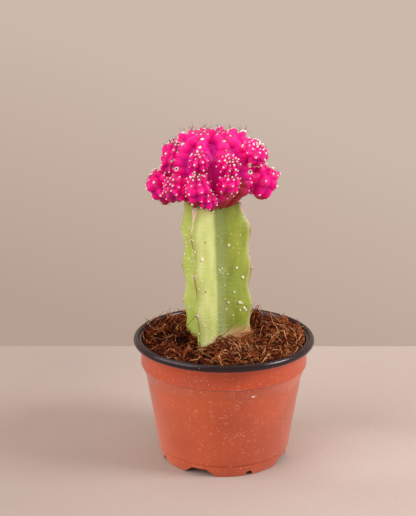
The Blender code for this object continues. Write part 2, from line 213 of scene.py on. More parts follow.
def add_object(name, data):
    made = bpy.data.objects.new(name, data)
    bpy.context.scene.collection.objects.link(made)
    return made


def make_piece(name, points, faces, material, slot, replaces=(), marks=None):
    """Smooth mesh piece from points in millimetres, with marks per point that its material reads."""
    mesh = bpy.data.meshes.new(name)
    mesh.from_pydata((points * MM).tolist(), [], faces)
    mesh.shade_smooth()
    mesh.materials.append(material)
    for mark, values in (marks or {}).items():
        layer = mesh.attributes.new(mark, "FLOAT", "POINT")
        layer.data.foreach_set("value", np.asarray(values, np.float32))
    piece = add_object(name, mesh)
    if replaces:
        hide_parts(*replaces)
    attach(piece, "root")
    return piece


def loft_faces(rows, columns):
    """Faces of a closed skin over rings listed from the bottom up, anticlockwise."""
    faces = []
    for row in range(rows - 1):
        for i in range(columns):
            j = (i + 1) % columns
            low, high = row * columns, (row + 1) * columns
            faces.append((low + i, low + j, high + j, high + i))
    faces.append(tuple(reversed(range(columns))))
    faces.append(tuple(range((rows - 1) * columns, rows * columns)))
    return faces


def ball_grid(cuts):
    """Directions and faces of a ball with even cells."""
    bm = bmesh.new()
    bmesh.ops.create_cube(bm, size=2.0)
    bmesh.ops.subdivide_edges(bm, edges=bm.edges, cuts=cuts, use_grid_fill=True)
    cube = np.array([vert.co for vert in bm.verts])
    faces = [tuple(vert.index for vert in face.verts) for face in bm.faces]
    bm.free()
    return unit(np.tan(cube * math.pi / 4)), faces


def tubes(paths, radii, sides=3):
    """Closed tubes round many paths of equal point counts: points, faces and each point's path."""
    count, steps = paths.shape[:2]
    along = unit(np.gradient(paths, axis=1))
    chord = np.abs(paths[:, -1] - paths[:, 0])
    reference = np.eye(3)[chord.argmin(axis=1)][:, None]
    side = unit(np.cross(along, reference))
    up = np.cross(along, side)
    turn = 2 * math.pi * np.arange(sides) / sides
    ring = side[:, :, None] * np.cos(turn)[:, None] + up[:, :, None] * np.sin(turn)[:, None]
    points = paths[:, :, None] + ring * radii[:, :, None, None]
    first = np.arange(count)[:, None, None] * steps * sides
    row = first + np.arange(steps - 1)[None, :, None] * sides
    i = np.arange(sides)[None, None]
    j = (i + 1) % sides
    quads = np.stack([row + i, row + j, row + sides + j, row + sides + i], axis=-1).reshape(-1, 4)
    caps = np.concatenate([
        first[:, 0] + np.arange(sides)[::-1],
        first[:, 0] + (steps - 1) * sides + np.arange(sides),
    ])
    owner = np.repeat(np.arange(count), steps * sides)
    return points.reshape(-1, 3), quads.tolist() + caps.tolist(), owner


def scattered(shape_points, shape_faces, centres, normals, sizes, flatness, rng):
    """Copies of one small shape set on a surface: points, faces and each point's copy."""
    count = len(centres)
    spin = rng.normal(size=(count, 3))
    side = unit(np.cross(normals, spin))
    up = np.cross(normals, side)
    axes = np.stack([side, up, normals * flatness], axis=1)
    local = np.einsum("pk,nkj->npj", shape_points, axes) * np.asarray(sizes)[:, None, None]
    points = centres[:, None] + local
    step = len(shape_points)
    faces = []
    for copy in range(count):
        faces += [tuple(index + copy * step for index in face) for face in shape_faces]
    return points.reshape(-1, 3), faces, np.repeat(np.arange(count), step)


def join(groups):
    """One set of points and faces from several, each (points, faces)."""
    points, faces, start = [], [], 0
    for group_points, group_faces in groups:
        points.append(group_points)
        faces += [tuple(index + start for index in face) for face in group_faces]
        start += len(group_points)
    return np.concatenate(points), faces


class Paint:
    """Short way to write one material's nodes. Patterns are placed in millimetres."""

    def __init__(self, name, roughness=0.5, **settings):
        self.material = bpy.data.materials.new(name)
        self.material.use_nodes = True
        self.tree = self.material.node_tree
        self.shader = self.tree.nodes["Principled BSDF"]
        self.shader.inputs["Roughness"].default_value = roughness
        for socket, value in settings.items():
            self.shader.inputs[socket.replace("_", " ")].default_value = value
        place = self.tree.nodes.new("ShaderNodeTexCoord").outputs["Object"]
        self.place = self.vector("MULTIPLY", place, (1 / MM,) * 3)

    def node(self, kind, inputs, **settings):
        made = self.tree.nodes.new("ShaderNode" + kind)
        for key, value in settings.items():
            setattr(made, key, value)
        for key, value in inputs.items():
            if isinstance(value, bpy.types.NodeSocket):
                self.tree.links.new(value, made.inputs[key])
            else:
                made.inputs[key].default_value = value
        return made

    def vector(self, operation, first, second):
        return self.node("VectorMath", {0: first, 1: second}, operation=operation).outputs[0]

    def math(self, operation, first, second=0.0):
        return self.node("Math", {0: first, 1: second}, operation=operation).outputs[0]

    def mark(self, name):
        return self.node("Attribute", {}, attribute_name=name).outputs["Fac"]

    def stretched(self, scale):
        return self.vector("MULTIPLY", self.place, scale)

    def noise(self, size, detail=3.0, roughness=0.5, place=None):
        """Noise whose features are about size millimetres across."""
        inputs = {"Vector": place or self.place, "Scale": 1 / size}
        inputs.update({"Detail": detail, "Roughness": roughness})
        return self.node("TexNoise", inputs).outputs["Fac"]

    def cells(self, size):
        return self.node("TexVoronoi", {"Vector": self.place, "Scale": 1 / size}).outputs

    def dots(self, size, reach, core, spread, chosen, more=0.0):
        """Round dots in some cells: spread shuffles the cells, and those above chosen get a dot."""
        cells = self.cells(size)
        pick = self.math("FRACT", self.math("MULTIPLY", cells["Color"], spread))
        pick = self.span(self.math("ADD", pick, more), chosen, chosen + 0.04)
        return self.math("MULTIPLY", self.span(cells["Distance"], reach, core), pick)

    def span(self, value, low, high, to_low=0.0, to_high=1.0):
        """Value mapped smoothly from low..high to to_low..to_high, and held past the ends."""
        inputs = {"Value": value, "From Min": low, "From Max": high, "To Min": to_low, "To Max": to_high}
        return self.node("MapRange", inputs, interpolation_type="SMOOTHSTEP").outputs["Result"]

    def patch(self, centre, scale, outer, inner, share=1.0):
        """Share round a centre in millimetres, faded out; scale squeezes the distance along each axis."""
        away = self.vector("MULTIPLY", self.vector("SUBTRACT", self.place, centre), scale)
        distance = self.node("VectorMath", {0: away}, operation="LENGTH").outputs["Value"]
        return self.span(distance, outer, inner, 0.0, share)

    def mix(self, share, first, second):
        inputs = {0: share, 6: as_colour(first), 7: as_colour(second)}
        return self.node("Mix", inputs, data_type="RGBA").outputs[2]

    def colour(self, value):
        self.tree.links.new(value, self.shader.inputs["Base Color"])

    def gloss(self, value):
        self.tree.links.new(value, self.shader.inputs["Roughness"])

    def bump(self, height, depth):
        """Fine relief; height is 0 to 1 and depth its size in millimetres."""
        made = self.node("Bump", {"Height": height, "Distance": depth * MM, "Strength": 1.0})
        self.tree.links.new(made.outputs["Normal"], self.shader.inputs["Normal"])


def srgb(red, green, blue):
    """Linear colour of a display colour given as 0 to 255."""
    channels = [channel / 255 for channel in (red, green, blue)]
    return tuple(c / 12.92 if c <= 0.04045 else ((c + 0.055) / 1.055) ** 2.4 for c in channels) + (1.0,)


def as_colour(value):
    if isinstance(value, tuple) and len(value) == 3:
        return srgb(*value)
    return value


# Camera, light and table ----------------------------------------------------------------------------

CAMERA_PLACE = (-8.8 * MM, -628.7 * MM, 292.9 * MM)
CAMERA_DOWN = 15.91
CAMERA_LENS = 83.7
TABLE_BACK = 0.171
TABLE_REACH = 1.3
TABLE_THICKNESS = 0.03
SOFTBOX_COLOUR = (0.93, 0.98, 1.0)
SOFTBOX_AIM = (0.0, 0.0, 0.09)
# Softboxes: place, width, height and power
SOFTBOXES = {
    "key": ((1.15, -0.3, 0.8), 0.5, 0.6, 15.0),
    "left_fill": ((-1.35, -0.6, 0.9), 1.8, 1.6, 23.0),
    "top": ((-0.1, 0.2, 1.4), 1.2, 1.2, 4.0),
}


def make_camera():
    data = bpy.data.cameras.new("camera")
    data.lens = CAMERA_LENS
    data.sensor_width = 36.0
    data.clip_start = 0.01
    data.clip_end = 50.0
    camera = add_object("camera", data)
    camera.location = CAMERA_PLACE
    camera.rotation_euler = (math.radians(90 - CAMERA_DOWN), 0, 0)
    bpy.context.scene.camera = camera


def make_table():
    """Pale table top whose back edge closes the view's lower half."""
    paint = Paint("table_top", roughness=0.75)
    paint.shader.inputs["Specular IOR Level"].default_value = 0.2
    grain = paint.noise(3.0, 4.0, 0.6)
    cloud = paint.noise(90.0, 2.0)
    # Painted shade: the top is darker towards the left, standing in for the light falling off away from
    # the key softbox at the right.
    across = paint.node("SeparateXYZ", {0: paint.place}).outputs["X"]
    base = paint.mix(paint.span(across, -130.0, 60.0), (172, 156, 149), (190, 174, 167))
    base = paint.mix(paint.span(cloud, 0.3, 0.7, 0.0, 0.3), base, (190, 172, 162))
    # Painted light: a paler patch on the top right of the pot, which lifts the shadow that the left fill
    # casts there.
    painted_light = paint.patch((80.0, -5.0, 0.0), (0.014, 0.02, 1.0), 1.0, 0.3, 0.7)
    base = paint.mix(painted_light, base, (206, 190, 183))
    paint.colour(paint.mix(paint.span(grain, 0.3, 0.7, 0.0, 0.12), base, (160, 140, 130)))
    end = math.asin(TABLE_BACK / TABLE_REACH)
    edge = np.linspace(-math.pi - end, end, 145)
    rim = strides(edge) * TABLE_REACH
    rings = [np.column_stack([rim, np.full(len(rim), z)]) for z in (-TABLE_THICKNESS, 0.0)]
    mesh = bpy.data.meshes.new("table_top")
    mesh.from_pydata(np.concatenate(rings).tolist(), [], loft_faces(2, len(rim)))
    mesh.materials.append(paint.material)
    add_object("table_top", mesh)


def make_softbox(name, place, width, height, power):
    data = bpy.data.lights.new(name, "AREA")
    data.shape = "RECTANGLE"
    data.size = width
    data.size_y = height
    data.energy = power
    data.color = SOFTBOX_COLOUR
    light = add_object(name, data)
    light.location = place
    direction = light.location - Vector(SOFTBOX_AIM)
    light.rotation_euler = direction.to_track_quat("Z", "Y").to_euler()
    light.visible_camera = False


def make_world():
    """Beige studio wall on every side, a little darker low down and at the left."""
    world = bpy.data.worlds.new("studio")
    world.use_nodes = True
    nodes, links = world.node_tree.nodes, world.node_tree.links
    background = nodes["Background"]
    direction = nodes.new("ShaderNodeTexCoord").outputs["Generated"]
    split = nodes.new("ShaderNodeSeparateXYZ")
    links.new(direction, split.inputs[0])
    fade = nodes.new("ShaderNodeMapRange")
    fade.inputs["From Min"].default_value = -0.36
    fade.inputs["From Max"].default_value = -0.14
    lean = nodes.new("ShaderNodeMath")
    lean.operation = "MULTIPLY_ADD"
    lean.inputs[1].default_value = 0.35
    links.new(split.outputs["X"], lean.inputs[0])
    links.new(split.outputs["Z"], lean.inputs[2])
    links.new(lean.outputs[0], fade.inputs["Value"])
    mix = nodes.new("ShaderNodeMix")
    mix.data_type = "RGBA"
    mix.inputs[6].default_value = srgb(182, 160, 146)
    mix.inputs[7].default_value = srgb(204, 184, 170)
    links.new(fade.outputs["Result"], mix.inputs[0])
    links.new(mix.outputs[2], background.inputs["Color"])
    background.inputs["Strength"].default_value = 1.0
    bpy.context.scene.world = world


def make_light():
    """Beige studio: an even world, a key softbox at the right and fills."""
    make_world()
    for name, settings in SOFTBOXES.items():
        make_softbox(name, *settings)


def set_view():
    bpy.context.scene.view_settings.view_transform = "Standard"
    bpy.context.scene.view_settings.look = "None"


# Pot ------------------------------------------------------------------------------------------------

def bead_arc(first, last, count):
    """Points of the rolled rim, as an ellipse between two angles in degrees."""
    angles = np.radians(np.linspace(first, last, count))
    across = RIM_RADIUS - BEAD_HALF_WIDTH + BEAD_HALF_WIDTH * np.cos(angles)
    height = POT_HEIGHT - BEAD_HALF_HEIGHT + BEAD_HALF_HEIGHT * np.sin(angles)
    return list(zip(across, height))


def near(station, *steps):
    """Outline points given as steps (out, up) from a station."""
    return [(station[0] + out, station[1] + up) for out, up in steps]


def pot_outline():
    """Half section from the middle of the floor up the inside, over the rim and down the outside.

    The second value is the first point of the outer, terracotta skin."""
    floor_top = FLOOR_UNDERSIDE + WALL
    corner = (FOOT_LINE[0] - WALL - 0.6, floor_top)
    inside = (
        [(0.4, floor_top)]
        + near(corner, (-1.6, 0), (-0.4, 0.4), (0, 1.5))
        + near((STEP_LOW[0] - WALL, STEP_LOW[1]), (-0.15, -0.8), (0.15, 0.6))
        + near((STEP_HIGH[0] - WALL, STEP_HIGH[1]), (-0.3, -0.5), (0, 0.7))
        + [(COLLAR_TOP[0] - WALL, POT_HEIGHT - 2.4), (COLLAR_TOP[0] - 0.35, POT_HEIGHT - 1.3)]
    )
    outside = (
        near(COLLAR_TOP, (0.7, 0.75), (0.75, 0.35), (0.3, 0.05), (0.02, -0.5), (0, -2.0))
        + near(STEP_HIGH, (0, 0.9), (0.14, 0.45), (0.12, 0.15), (-0.25, -0.05), (-0.5, -0.6))
        + near(STEP_LOW, (0.3, 0.8), (0.06, 0.1), (-0.1, -1.0))
        + near(FOOT_LINE, (0.25, 0.8), (0.2, 0.25), (-0.25, 0.05), (-0.3, -0.3), (-0.2, -0.7))
        + near((FOOT_RADIUS, 0), (0.05, 0.6), (-0.12, 0.15), (-0.45, 0), (-0.95, 0), (-1.15, 0.25))
        + near((FOOT_RADIUS, FLOOR_UNDERSIDE), (-0.7, -0.5), (-1.2, 0))
        + [(0.4, FLOOR_UNDERSIDE)]
    )
    rim = bead_arc(165, -112, 19)
    return inside + rim + outside, len(inside) + len(rim) - 1


# Smears on the terracotta: centre, squeeze of the axes, outer and inner reach, share and colour
POT_SMEARS = (
    ((-12.0, -45.0, 59.5), (0.07, 0.07, 0.2), 1.4, 0.5, 0.4, (150, 80, 60)),
    ((5.5, -45.0, 61.0), (0.11, 0.1, 0.3), 1.4, 0.3, 0.6, (128, 62, 26)),
    ((15.1, -41.4, 49.4), (1.0, 0.4, 1.5), 1.25, 0.85, 1.0, (238, 196, 190)),
)


def dust_marks(paint):
    """Lime dots and arcs, thicker on the middle of the front."""
    dusty = paint.patch((-2.0, -42.0, 38.0), (0.9, 0.9, 0.7), 26.0, 10.0, 0.45)
    ring = paint.math("ABSOLUTE", paint.math("SUBTRACT", paint.cells(4.4)["Distance"], 0.27))
    part = paint.math("ADD", paint.noise(2.4, 1.0), paint.math("MULTIPLY", dusty, 0.25))
    part = paint.span(part, 0.55, 0.61, 0.0, 0.55)
    marks = paint.math("MULTIPLY", paint.span(ring, 0.024, 0.006), part)
    for size, chosen, reach in ((1.9, 0.62, 0.15), (1.1, 0.9, 0.2)):
        dots = paint.dots(size, reach, reach * 0.5, 7.0, chosen, dusty)
        marks = paint.math("MAXIMUM", marks, paint.math("MULTIPLY", dots, 0.7))
    return marks


def terracotta_paint():
    paint = Paint("pot_terracotta", roughness=0.4, Specular_IOR_Level=0.5, Sheen_Weight=0.32)
    base = paint.mix(paint.span(paint.noise(42.0, 2.0), 0.35, 0.65), (199, 83, 36), (180, 70, 30))
    for centre, squeeze, outer, inner, share, tone in POT_SMEARS:
        base = paint.mix(paint.patch(centre, squeeze, outer, inner, share), base, tone)
    height = paint.node("SeparateXYZ", {0: paint.place}).outputs["Z"]
    collar = paint.span(height, STEP_HIGH[1] - 0.6, STEP_HIGH[1] + 0.6, 0.0, 0.5)
    base = paint.mix(collar, base, (182, 54, 6))
    # Painted shade: dark lines just under the collar's lower lip and under the ridge above the foot.
    for line, wide in ((FOOT_LINE[1] - 0.1, 0.35), (STEP_HIGH[1] - 0.1, 0.4)):
        off = paint.math("ABSOLUTE", paint.math("SUBTRACT", height, line))
        base = paint.mix(paint.span(off, wide, wide * 0.4, 0.0, 0.55), base, (96, 34, 20))
    rub = paint.noise(5.0, 5.0, 0.7)
    base = paint.mix(paint.span(rub, 0.58, 0.78, 0.0, 0.3), base, (222, 128, 98))
    paint.colour(paint.mix(dust_marks(paint), base, (238, 186, 160)))
    paint.gloss(paint.span(rub, 0.3, 0.7, 0.38, 0.52))
    paint.bump(paint.noise(0.9, 3.0, 0.6), 0.03)
    return paint.material


def black_paint():
    paint = Paint("pot_black", roughness=0.3, Specular_Tint=(1.0, 0.82, 0.9, 1.0))
    scuff = paint.noise(2.2, 5.0, 0.7)
    base = paint.mix(paint.span(scuff, 0.6, 0.85, 0.0, 0.35), (24, 8, 13), (58, 38, 46))
    specks = paint.dots(1.9, 0.16, 0.08, 5.0, 0.8)
    paint.colour(paint.mix(paint.math("MULTIPLY", specks, 0.5), base, (190, 175, 170)))
    paint.gloss(paint.span(scuff, 0.3, 0.7, 0.16, 0.3))
    paint.bump(paint.noise(3.5, 2.0, 0.5), 0.02)
    return paint.material


def prism(bm, footprint, azimuth):
    """Adds a cutter through the foot at an azimuth; footprint is its (sideways, height) outline."""
    facing = outward(azimuth)
    aside = np.array([-facing[1], facing[0], 0.0])
    rings = []
    for reach in (FOOT_RADIUS + 3.0, FOOT_RADIUS - 3.0):
        ring = [facing * reach + aside * across + np.array([0, 0, up]) for across, up in footprint]
        rings.append([bm.verts.new(point * MM) for point in ring])
    count = len(footprint)
    for i in range(count):
        j = (i + 1) % count
        bm.faces.new((rings[0][i], rings[0][j], rings[1][j], rings[1][i]))
    bm.faces.new(rings[0])
    bm.faces.new(rings[1])


def pot_cutter(material):
    """Notches and arches of the foot, and drain holes of the floor, as one cutter."""
    bm = bmesh.new()
    low, high = (FOOT_RADIUS * math.sin(math.radians(angle)) for angle in NOTCH_HALF_ANGLES)
    below = low + (low - high) / NOTCH_HEIGHT
    soft = 0.5
    notch = [(-below, -1.0), (-high - soft * 0.7, NOTCH_HEIGHT - soft), (-high + soft, NOTCH_HEIGHT)]
    notch += [(-across, height) for across, height in reversed(notch)]
    for azimuth in NOTCH_AZIMUTHS:
        prism(bm, notch, azimuth)
    turn = np.radians(np.arange(0, 360, 10))
    arch = list(zip(ARCH_RADIUS * np.cos(turn), ARCH_TOP - ARCH_RADIUS + ARCH_RADIUS * np.sin(turn)))
    for azimuth in ARCH_AZIMUTHS:
        prism(bm, arch, azimuth)
    holes = [(0.0, 0.0, DRAIN_CENTRE_RADIUS)]
    for i in range(DRAIN_COUNT):
        x, y, _ = outward(360 * i / DRAIN_COUNT) * DRAIN_CIRCLE_RADIUS
        holes.append((x, y, DRAIN_RADIUS))
    for x, y, radius in holes:
        made = bmesh.ops.create_cone(
            bm, cap_ends=True, segments=40, radius1=radius * MM, radius2=radius * MM, depth=4 * MM)
        bmesh.ops.translate(bm, verts=made["verts"], vec=(x * MM, y * MM, FLOOR_UNDERSIDE * MM))
    bmesh.ops.recalc_face_normals(bm, faces=bm.faces)
    mesh = bpy.data.meshes.new("pot_cutter")
    bm.to_mesh(mesh)
    bm.free()
    mesh.materials.append(material)
    return add_object("pot_cutter", mesh)


def make_pot():
    outline, skin_start = pot_outline()
    outline = np.array(outline[::-1])
    skin_end = len(outline) - 1 - skin_start
    angles = np.radians(np.arange(POT_STEPS) * 360 / POT_STEPS)
    rings = np.empty((len(outline), POT_STEPS, 3))
    out_of_round = 1 + 0.0022 * np.cos(2 * angles + 0.7) + 0.0012 * np.cos(3 * angles + 2.0)
    for row, (across, height) in enumerate(outline):
        give = 1 + (out_of_round - 1) * ease(20, 60, height)
        rings[row] = np.stack([
            across * give * np.cos(angles),
            across * give * np.sin(angles),
            np.full(POT_STEPS, height),
        ], axis=1)
    outside = terracotta_paint()
    faces = loft_faces(len(outline), POT_STEPS)
    pot = make_piece("pot_shell", rings.reshape(-1, 3), faces, outside, "pot_plastic", ("nursery_pot",))
    pot.data.materials.append(black_paint())
    for polygon in pot.data.polygons:
        row = polygon.index // POT_STEPS
        if row >= skin_end and row < len(outline) - 1:
            polygon.material_index = 1
    cutter = pot_cutter(outside)
    modifier = pot.modifiers.new("cut", "BOOLEAN")
    modifier.operation = "DIFFERENCE"
    modifier.object = cutter
    bake_modifiers(pot)
    bpy.data.objects.remove(cutter)
    pot.data.set_sharp_from_angle(angle=math.radians(40))


def bake_modifiers(piece):
    """Gives a piece the mesh that its modifiers make, and drops them."""
    graph = bpy.context.evaluated_depsgraph_get()
    mesh = bpy.data.meshes.new_from_object(piece.evaluated_get(graph), depsgraph=graph)
    piece.modifiers.clear()
    piece.data = mesh


# Rootstock ------------------------------------------------------------------------------------------

def stem_size(height, bevel):
    """Scale of a rib's reach: less in the coir, and bevelled in under the graft."""
    if height < SOIL_LEVEL:
        up = (height - STEM_BOTTOM) / (SOIL_LEVEL - STEM_BOTTOM)
        return BURIED_SHARE + (1 - BURIED_SHARE) * math.sin(math.pi / 2 * up)
    if height > BEVEL_START:
        return 1.0 - bevel * ((height - BEVEL_START) / (GRAFT_HEIGHT - BEVEL_START)) ** BEVEL_CURVE
    return 1.0


def stem_axis(height):
    up = (height - SOIL_LEVEL) / (GRAFT_HEIGHT - SOIL_LEVEL)
    return AXIS_AT_SOIL * (1 - up) + AXIS_AT_GRAFT * up


def stem_corners(height, swell):
    """Rib tips and valley bottoms of the section at one height, by turns."""
    up = (height - SOIL_LEVEL) / (GRAFT_HEIGHT - SOIL_LEVEL)
    wave = math.cos(2 * math.pi * (height - AREOLE_PHASE_HEIGHT) / AREOLE_SPACING)
    turned = min(max(up, -0.1), 1.0)
    angles = [math.radians(low + (high - low) * turned) for low, high, radius, bevel in STEM_RIBS]
    valley = VALLEY_RADIUS * (0.4 + 0.6 * stem_size(height, 0.0)) + swell * VALLEY_SWELL
    corners = []
    for i, (low, high, radius, bevel) in enumerate(STEM_RIBS):
        reach = (radius + CRENATION * wave) * stem_size(height, bevel) + swell * RIB_SWELL
        corners.append(stem_axis(height) + reach * np.array([math.cos(angles[i]), math.sin(angles[i])]))
        following = angles[(i + 1) % 3] + (2 * math.pi if i == 2 else 0)
        middle = (angles[i] + following) / 2
        corners.append(stem_axis(height) + valley * np.array([math.cos(middle), math.sin(middle)]))
    return corners


def stem_section(height, swell=0.0):
    """Closed outline of the stem whose corners are eased with quadratic arcs."""
    corners = stem_corners(height, swell)
    roundings = (RIB_ROUNDING, VALLEY_ROUNDING) * 3
    points = []
    for i, corner in enumerate(corners):
        after = corners[(i + 1) % 6]
        start = corner + unit(corners[i - 1] - corner) * roundings[i]
        end = corner + unit(after - corner) * roundings[i]
        for t in np.linspace(0, 1, CORNER_STEPS):
            points.append(start * (1 - t) ** 2 + corner * 2 * t * (1 - t) + end * t ** 2)
        following = after + unit(corner - after) * roundings[(i + 1) % 6]
        run = following - end
        out = unit(np.array([run[1], -run[0]])) * FLANK_BULGE
        for step in range(1, FLANK_STEPS + 1):
            share = step / (FLANK_STEPS + 1)
            lean = share if i % 2 == 0 else 1 - share
            points.append(end + run * share + out * math.sin(math.pi * lean ** 0.8))
    return np.array(points)


def stem_reach(angles, height, swell=0.0):
    """Radius of the stem from its axis at angles from +X, at one height."""
    spokes = stem_section(height, swell) - stem_axis(height)
    turned = np.arctan2(spokes[:, 1], spokes[:, 0])
    order = np.argsort(turned)
    return np.interp(angles, turned[order], np.hypot(*spokes[order].T), period=2 * math.pi)


def stem_surface():
    """Points of the stem, row by row, with the marks that its material reads."""
    heights = np.linspace(STEM_BOTTOM, GRAFT_HEIGHT, STEM_ROWS)
    rows = np.array([stem_section(height) for height in heights])
    around = np.roll(rows, -1, axis=1) - rows
    lengths = np.linalg.norm(around, axis=2)
    travelled = np.concatenate([np.zeros((STEM_ROWS, 1)), np.cumsum(lengths, axis=1)[:, :-1]], axis=1)
    whole = lengths.sum(axis=1, keepdims=True)

    def gap_to(corner, shift):
        """Distance along the skin from a corner's middle."""
        index = corner * SECTION_STEP + CORNER_STEPS // 2
        gap = travelled - travelled[:, index:index + 1] - shift[:, None]
        return np.abs((gap + whole / 2) % whole - whole / 2)

    wobble = 0.2 * np.sin(heights / 3.1) + 0.25 * np.sin(heights / 5.3 + 1.0) - 0.2
    wobble *= ease(BEVEL_START + 4, BEVEL_START - 4, heights)
    bow = -0.4 * np.sin(math.pi * np.clip((heights - SOIL_LEVEL) / (GRAFT_HEIGHT - SOIL_LEVEL), 0, 1))
    rib_gaps = np.array([gap_to(0, wobble + bow), gap_to(2, wobble * -0.6), gap_to(4, wobble * 0.8)])
    valley_gap = np.min([gap_to(corner, 0 * heights) for corner in (1, 3, 5)], axis=0)
    from_areole = np.abs(heights + 0.9 - np.array(AREOLE_HEIGHTS)[..., None]).min(axis=1)
    widths = 0.4 + 0.5 * np.exp(-(from_areole / 3.0) ** 2)
    healed = ease(BEVEL_START + 7, GRAFT_HEIGHT - 2, heights) * np.array([[2.1], [1.8], [1.0]])
    cork = 0
    for gap, healing in zip(rib_gaps, widths + healed):
        cork = np.maximum(cork, 1 - gap / healing[:, None] / 1.6)
    ridge = np.clip(cork, 0, 1) * ease(BEVEL_START + 10, BEVEL_START, heights)[:, None]
    normals = np.stack([around[..., 1], -around[..., 0]], axis=-1)
    normals = unit(normals + np.roll(normals, 1, axis=1))
    points = np.concatenate([rows, np.repeat(heights[:, None, None], rows.shape[1], axis=1)], axis=2)
    relief = 0.16 * ripple(points * [1, 1, 0.45], 7.0, 3) + 0.05 * ripple(points, 2.2, 4)
    relief *= 1 - np.clip(cork, 0, 1)
    points[..., :2] += normals * (relief + 0.22 * ridge)[..., None]
    face = np.floor((np.arange(rows.shape[1]) - CORNER_STEPS // 2) % (6 * SECTION_STEP) / SECTION_STEP)
    flanks = np.broadcast_to(face, cork.shape)
    marks = {
        "cork": np.clip(cork, -0.5, 1),
        # rib: also drives a painted highlight along the rib edges of the green flanks
        "rib": np.exp(-(rib_gaps.min(axis=0) / 3.0) ** 2),
        # valley: the grey-green strip, partly painted shade
        "valley": np.exp(-(valley_gap / np.where(flanks == 1, 4.2, 2.7)) ** 2),
        # pale: the front face's left flank, paler partly as painted light
        "pale": ease(0.2, 4.2, valley_gap * np.where(flanks == 0, 1, -1)),
        # The left face, lighter partly as painted light
        "fresh_and_lit": ease(-0.6, 1.4, valley_gap * np.where((flanks == 5) | (flanks == 4), 1, -1)),
    }
    return points, {mark: values.ravel() for mark, values in marks.items()}


def stem_paint():
    paint = Paint("stem_skin", roughness=0.4, Subsurface_Weight=0.15, Subsurface_Scale=1.5 * MM)
    paint.shader.inputs["Subsurface Radius"].default_value = (1.0, 0.9, 0.35)
    paint.shader.inputs["Specular IOR Level"].default_value = 0.35
    streaks = paint.noise(5.0, 3.0, 0.5, paint.stretched((1.0, 1.0, 0.3)))
    clouds = paint.noise(14.0, 3.0, 0.6)
    fine = paint.noise(0.8, 4.0, 0.6)
    green = paint.mix(paint.span(streaks, 0.35, 0.65), (128, 146, 50), (148, 164, 66))
    green = paint.mix(paint.span(clouds, 0.4, 0.65, 0.0, 0.8), green, (158, 168, 60))
    # Partly painted highlight: near the rib edges the green flanks turn paler, partly their own paler
    # margin and partly light where the skin curves over the rib.
    green = paint.mix(paint.span(paint.mark("rib"), 0.25, 1.0, 0.0, 0.75), green, (196, 196, 132))
    # Partly painted light: the front face's left flank is paler, partly its own paler skin and partly
    # light on the flank that faces the softbox.
    pale = paint.mix(paint.span(streaks, 0.3, 0.7), (194, 206, 116), (210, 216, 144))
    pale = paint.mix(paint.span(paint.mark("rib"), 0.15, 0.8, 0.0, 0.7), pale, (158, 178, 82))
    colour = paint.mix(paint.span(paint.mark("pale"), 0.1, 0.9), green, pale)
    # Partly painted light: the left face is a lighter yellow-green, partly its own lighter skin and
    # partly light from the left fill.
    fresh_and_lit = paint.mix(paint.span(clouds, 0.35, 0.65), (174, 192, 84), (190, 204, 108))
    colour = paint.mix(paint.span(paint.mark("fresh_and_lit"), 0.1, 0.9), colour, fresh_and_lit)
    # Partly painted shade: the valleys are grey-green, partly the skin's bloom and partly shade in the
    # hollow.
    valley = paint.math("MULTIPLY", paint.mark("valley"), paint.span(clouds, 0.3, 0.7, 0.45, 1.15))
    height = paint.node("SeparateXYZ", {0: paint.place}).outputs
    low = paint.span(height["Z"], GRAFT_HEIGHT - 8, SOIL_LEVEL + 20)
    colour = paint.mix(valley, colour, paint.mix(low, (128, 146, 88), (158, 168, 108)))
    edge = paint.math("ADD", height["Z"], paint.span(clouds, 0.3, 0.7, -3.0, 3.0))
    bark = paint.mix(paint.span(height["X"], -1.0, 8.0), (226, 214, 160), (196, 158, 112))
    low = paint.math("MULTIPLY", paint.span(edge, SOIL_LEVEL + 10, SOIL_LEVEL + 3),
                     paint.span(height["X"], -13.0, -7.0))
    colour = paint.mix(low, colour, bark)
    colour = paint.mix(paint.span(fine, 0.56, 0.72, 0.0, 0.2), colour, (216, 216, 160))
    specks = paint.dots(3.4, 0.11, 0.05, 9.0, 0.78)
    colour = paint.mix(paint.math("MULTIPLY", specks, 0.7), colour, (92, 70, 40))
    cork = paint.math("ADD", paint.mark("cork"), paint.span(fine, 0.3, 0.7, -0.12, 0.12))
    healed = paint.span(height["Z"], BEVEL_START - 1, BEVEL_START + 5)
    bark = paint.mix(healed, (172, 130, 88), (230, 206, 190))
    colour = paint.mix(paint.span(cork, 0.3, 0.5), colour, bark)
    paint.colour(colour)
    paint.gloss(paint.span(cork, 0.2, 0.5, 0.38, 0.8))
    paint.bump(fine, 0.05)
    return paint.material


def make_stem():
    points, marks = stem_surface()
    faces = loft_faces(STEM_ROWS, 6 * SECTION_STEP)
    skin = points.reshape(-1, 3)
    make_piece("cactus_stem", skin, faces, stem_paint(), "green_stem", ("rootstock",), marks)
    make_stem_areoles(points)
    make_warts(points)


def stem_seats(points, heights, columns):
    """Points and outward normals of the stem's skin at heights and columns of its grid."""
    rows = np.clip((np.asarray(heights) - STEM_BOTTOM) / (GRAFT_HEIGHT - STEM_BOTTOM), 0.01, 0.99)
    rows = np.round(rows * (STEM_ROWS - 1)).astype(int)
    columns = np.asarray(columns) % points.shape[1]
    around = points[rows, (columns + 2) % points.shape[1]] - points[rows, columns - 2]
    upward = points[rows + 2, columns] - points[rows - 2, columns]
    return points[rows, columns], unit(np.cross(around, upward))


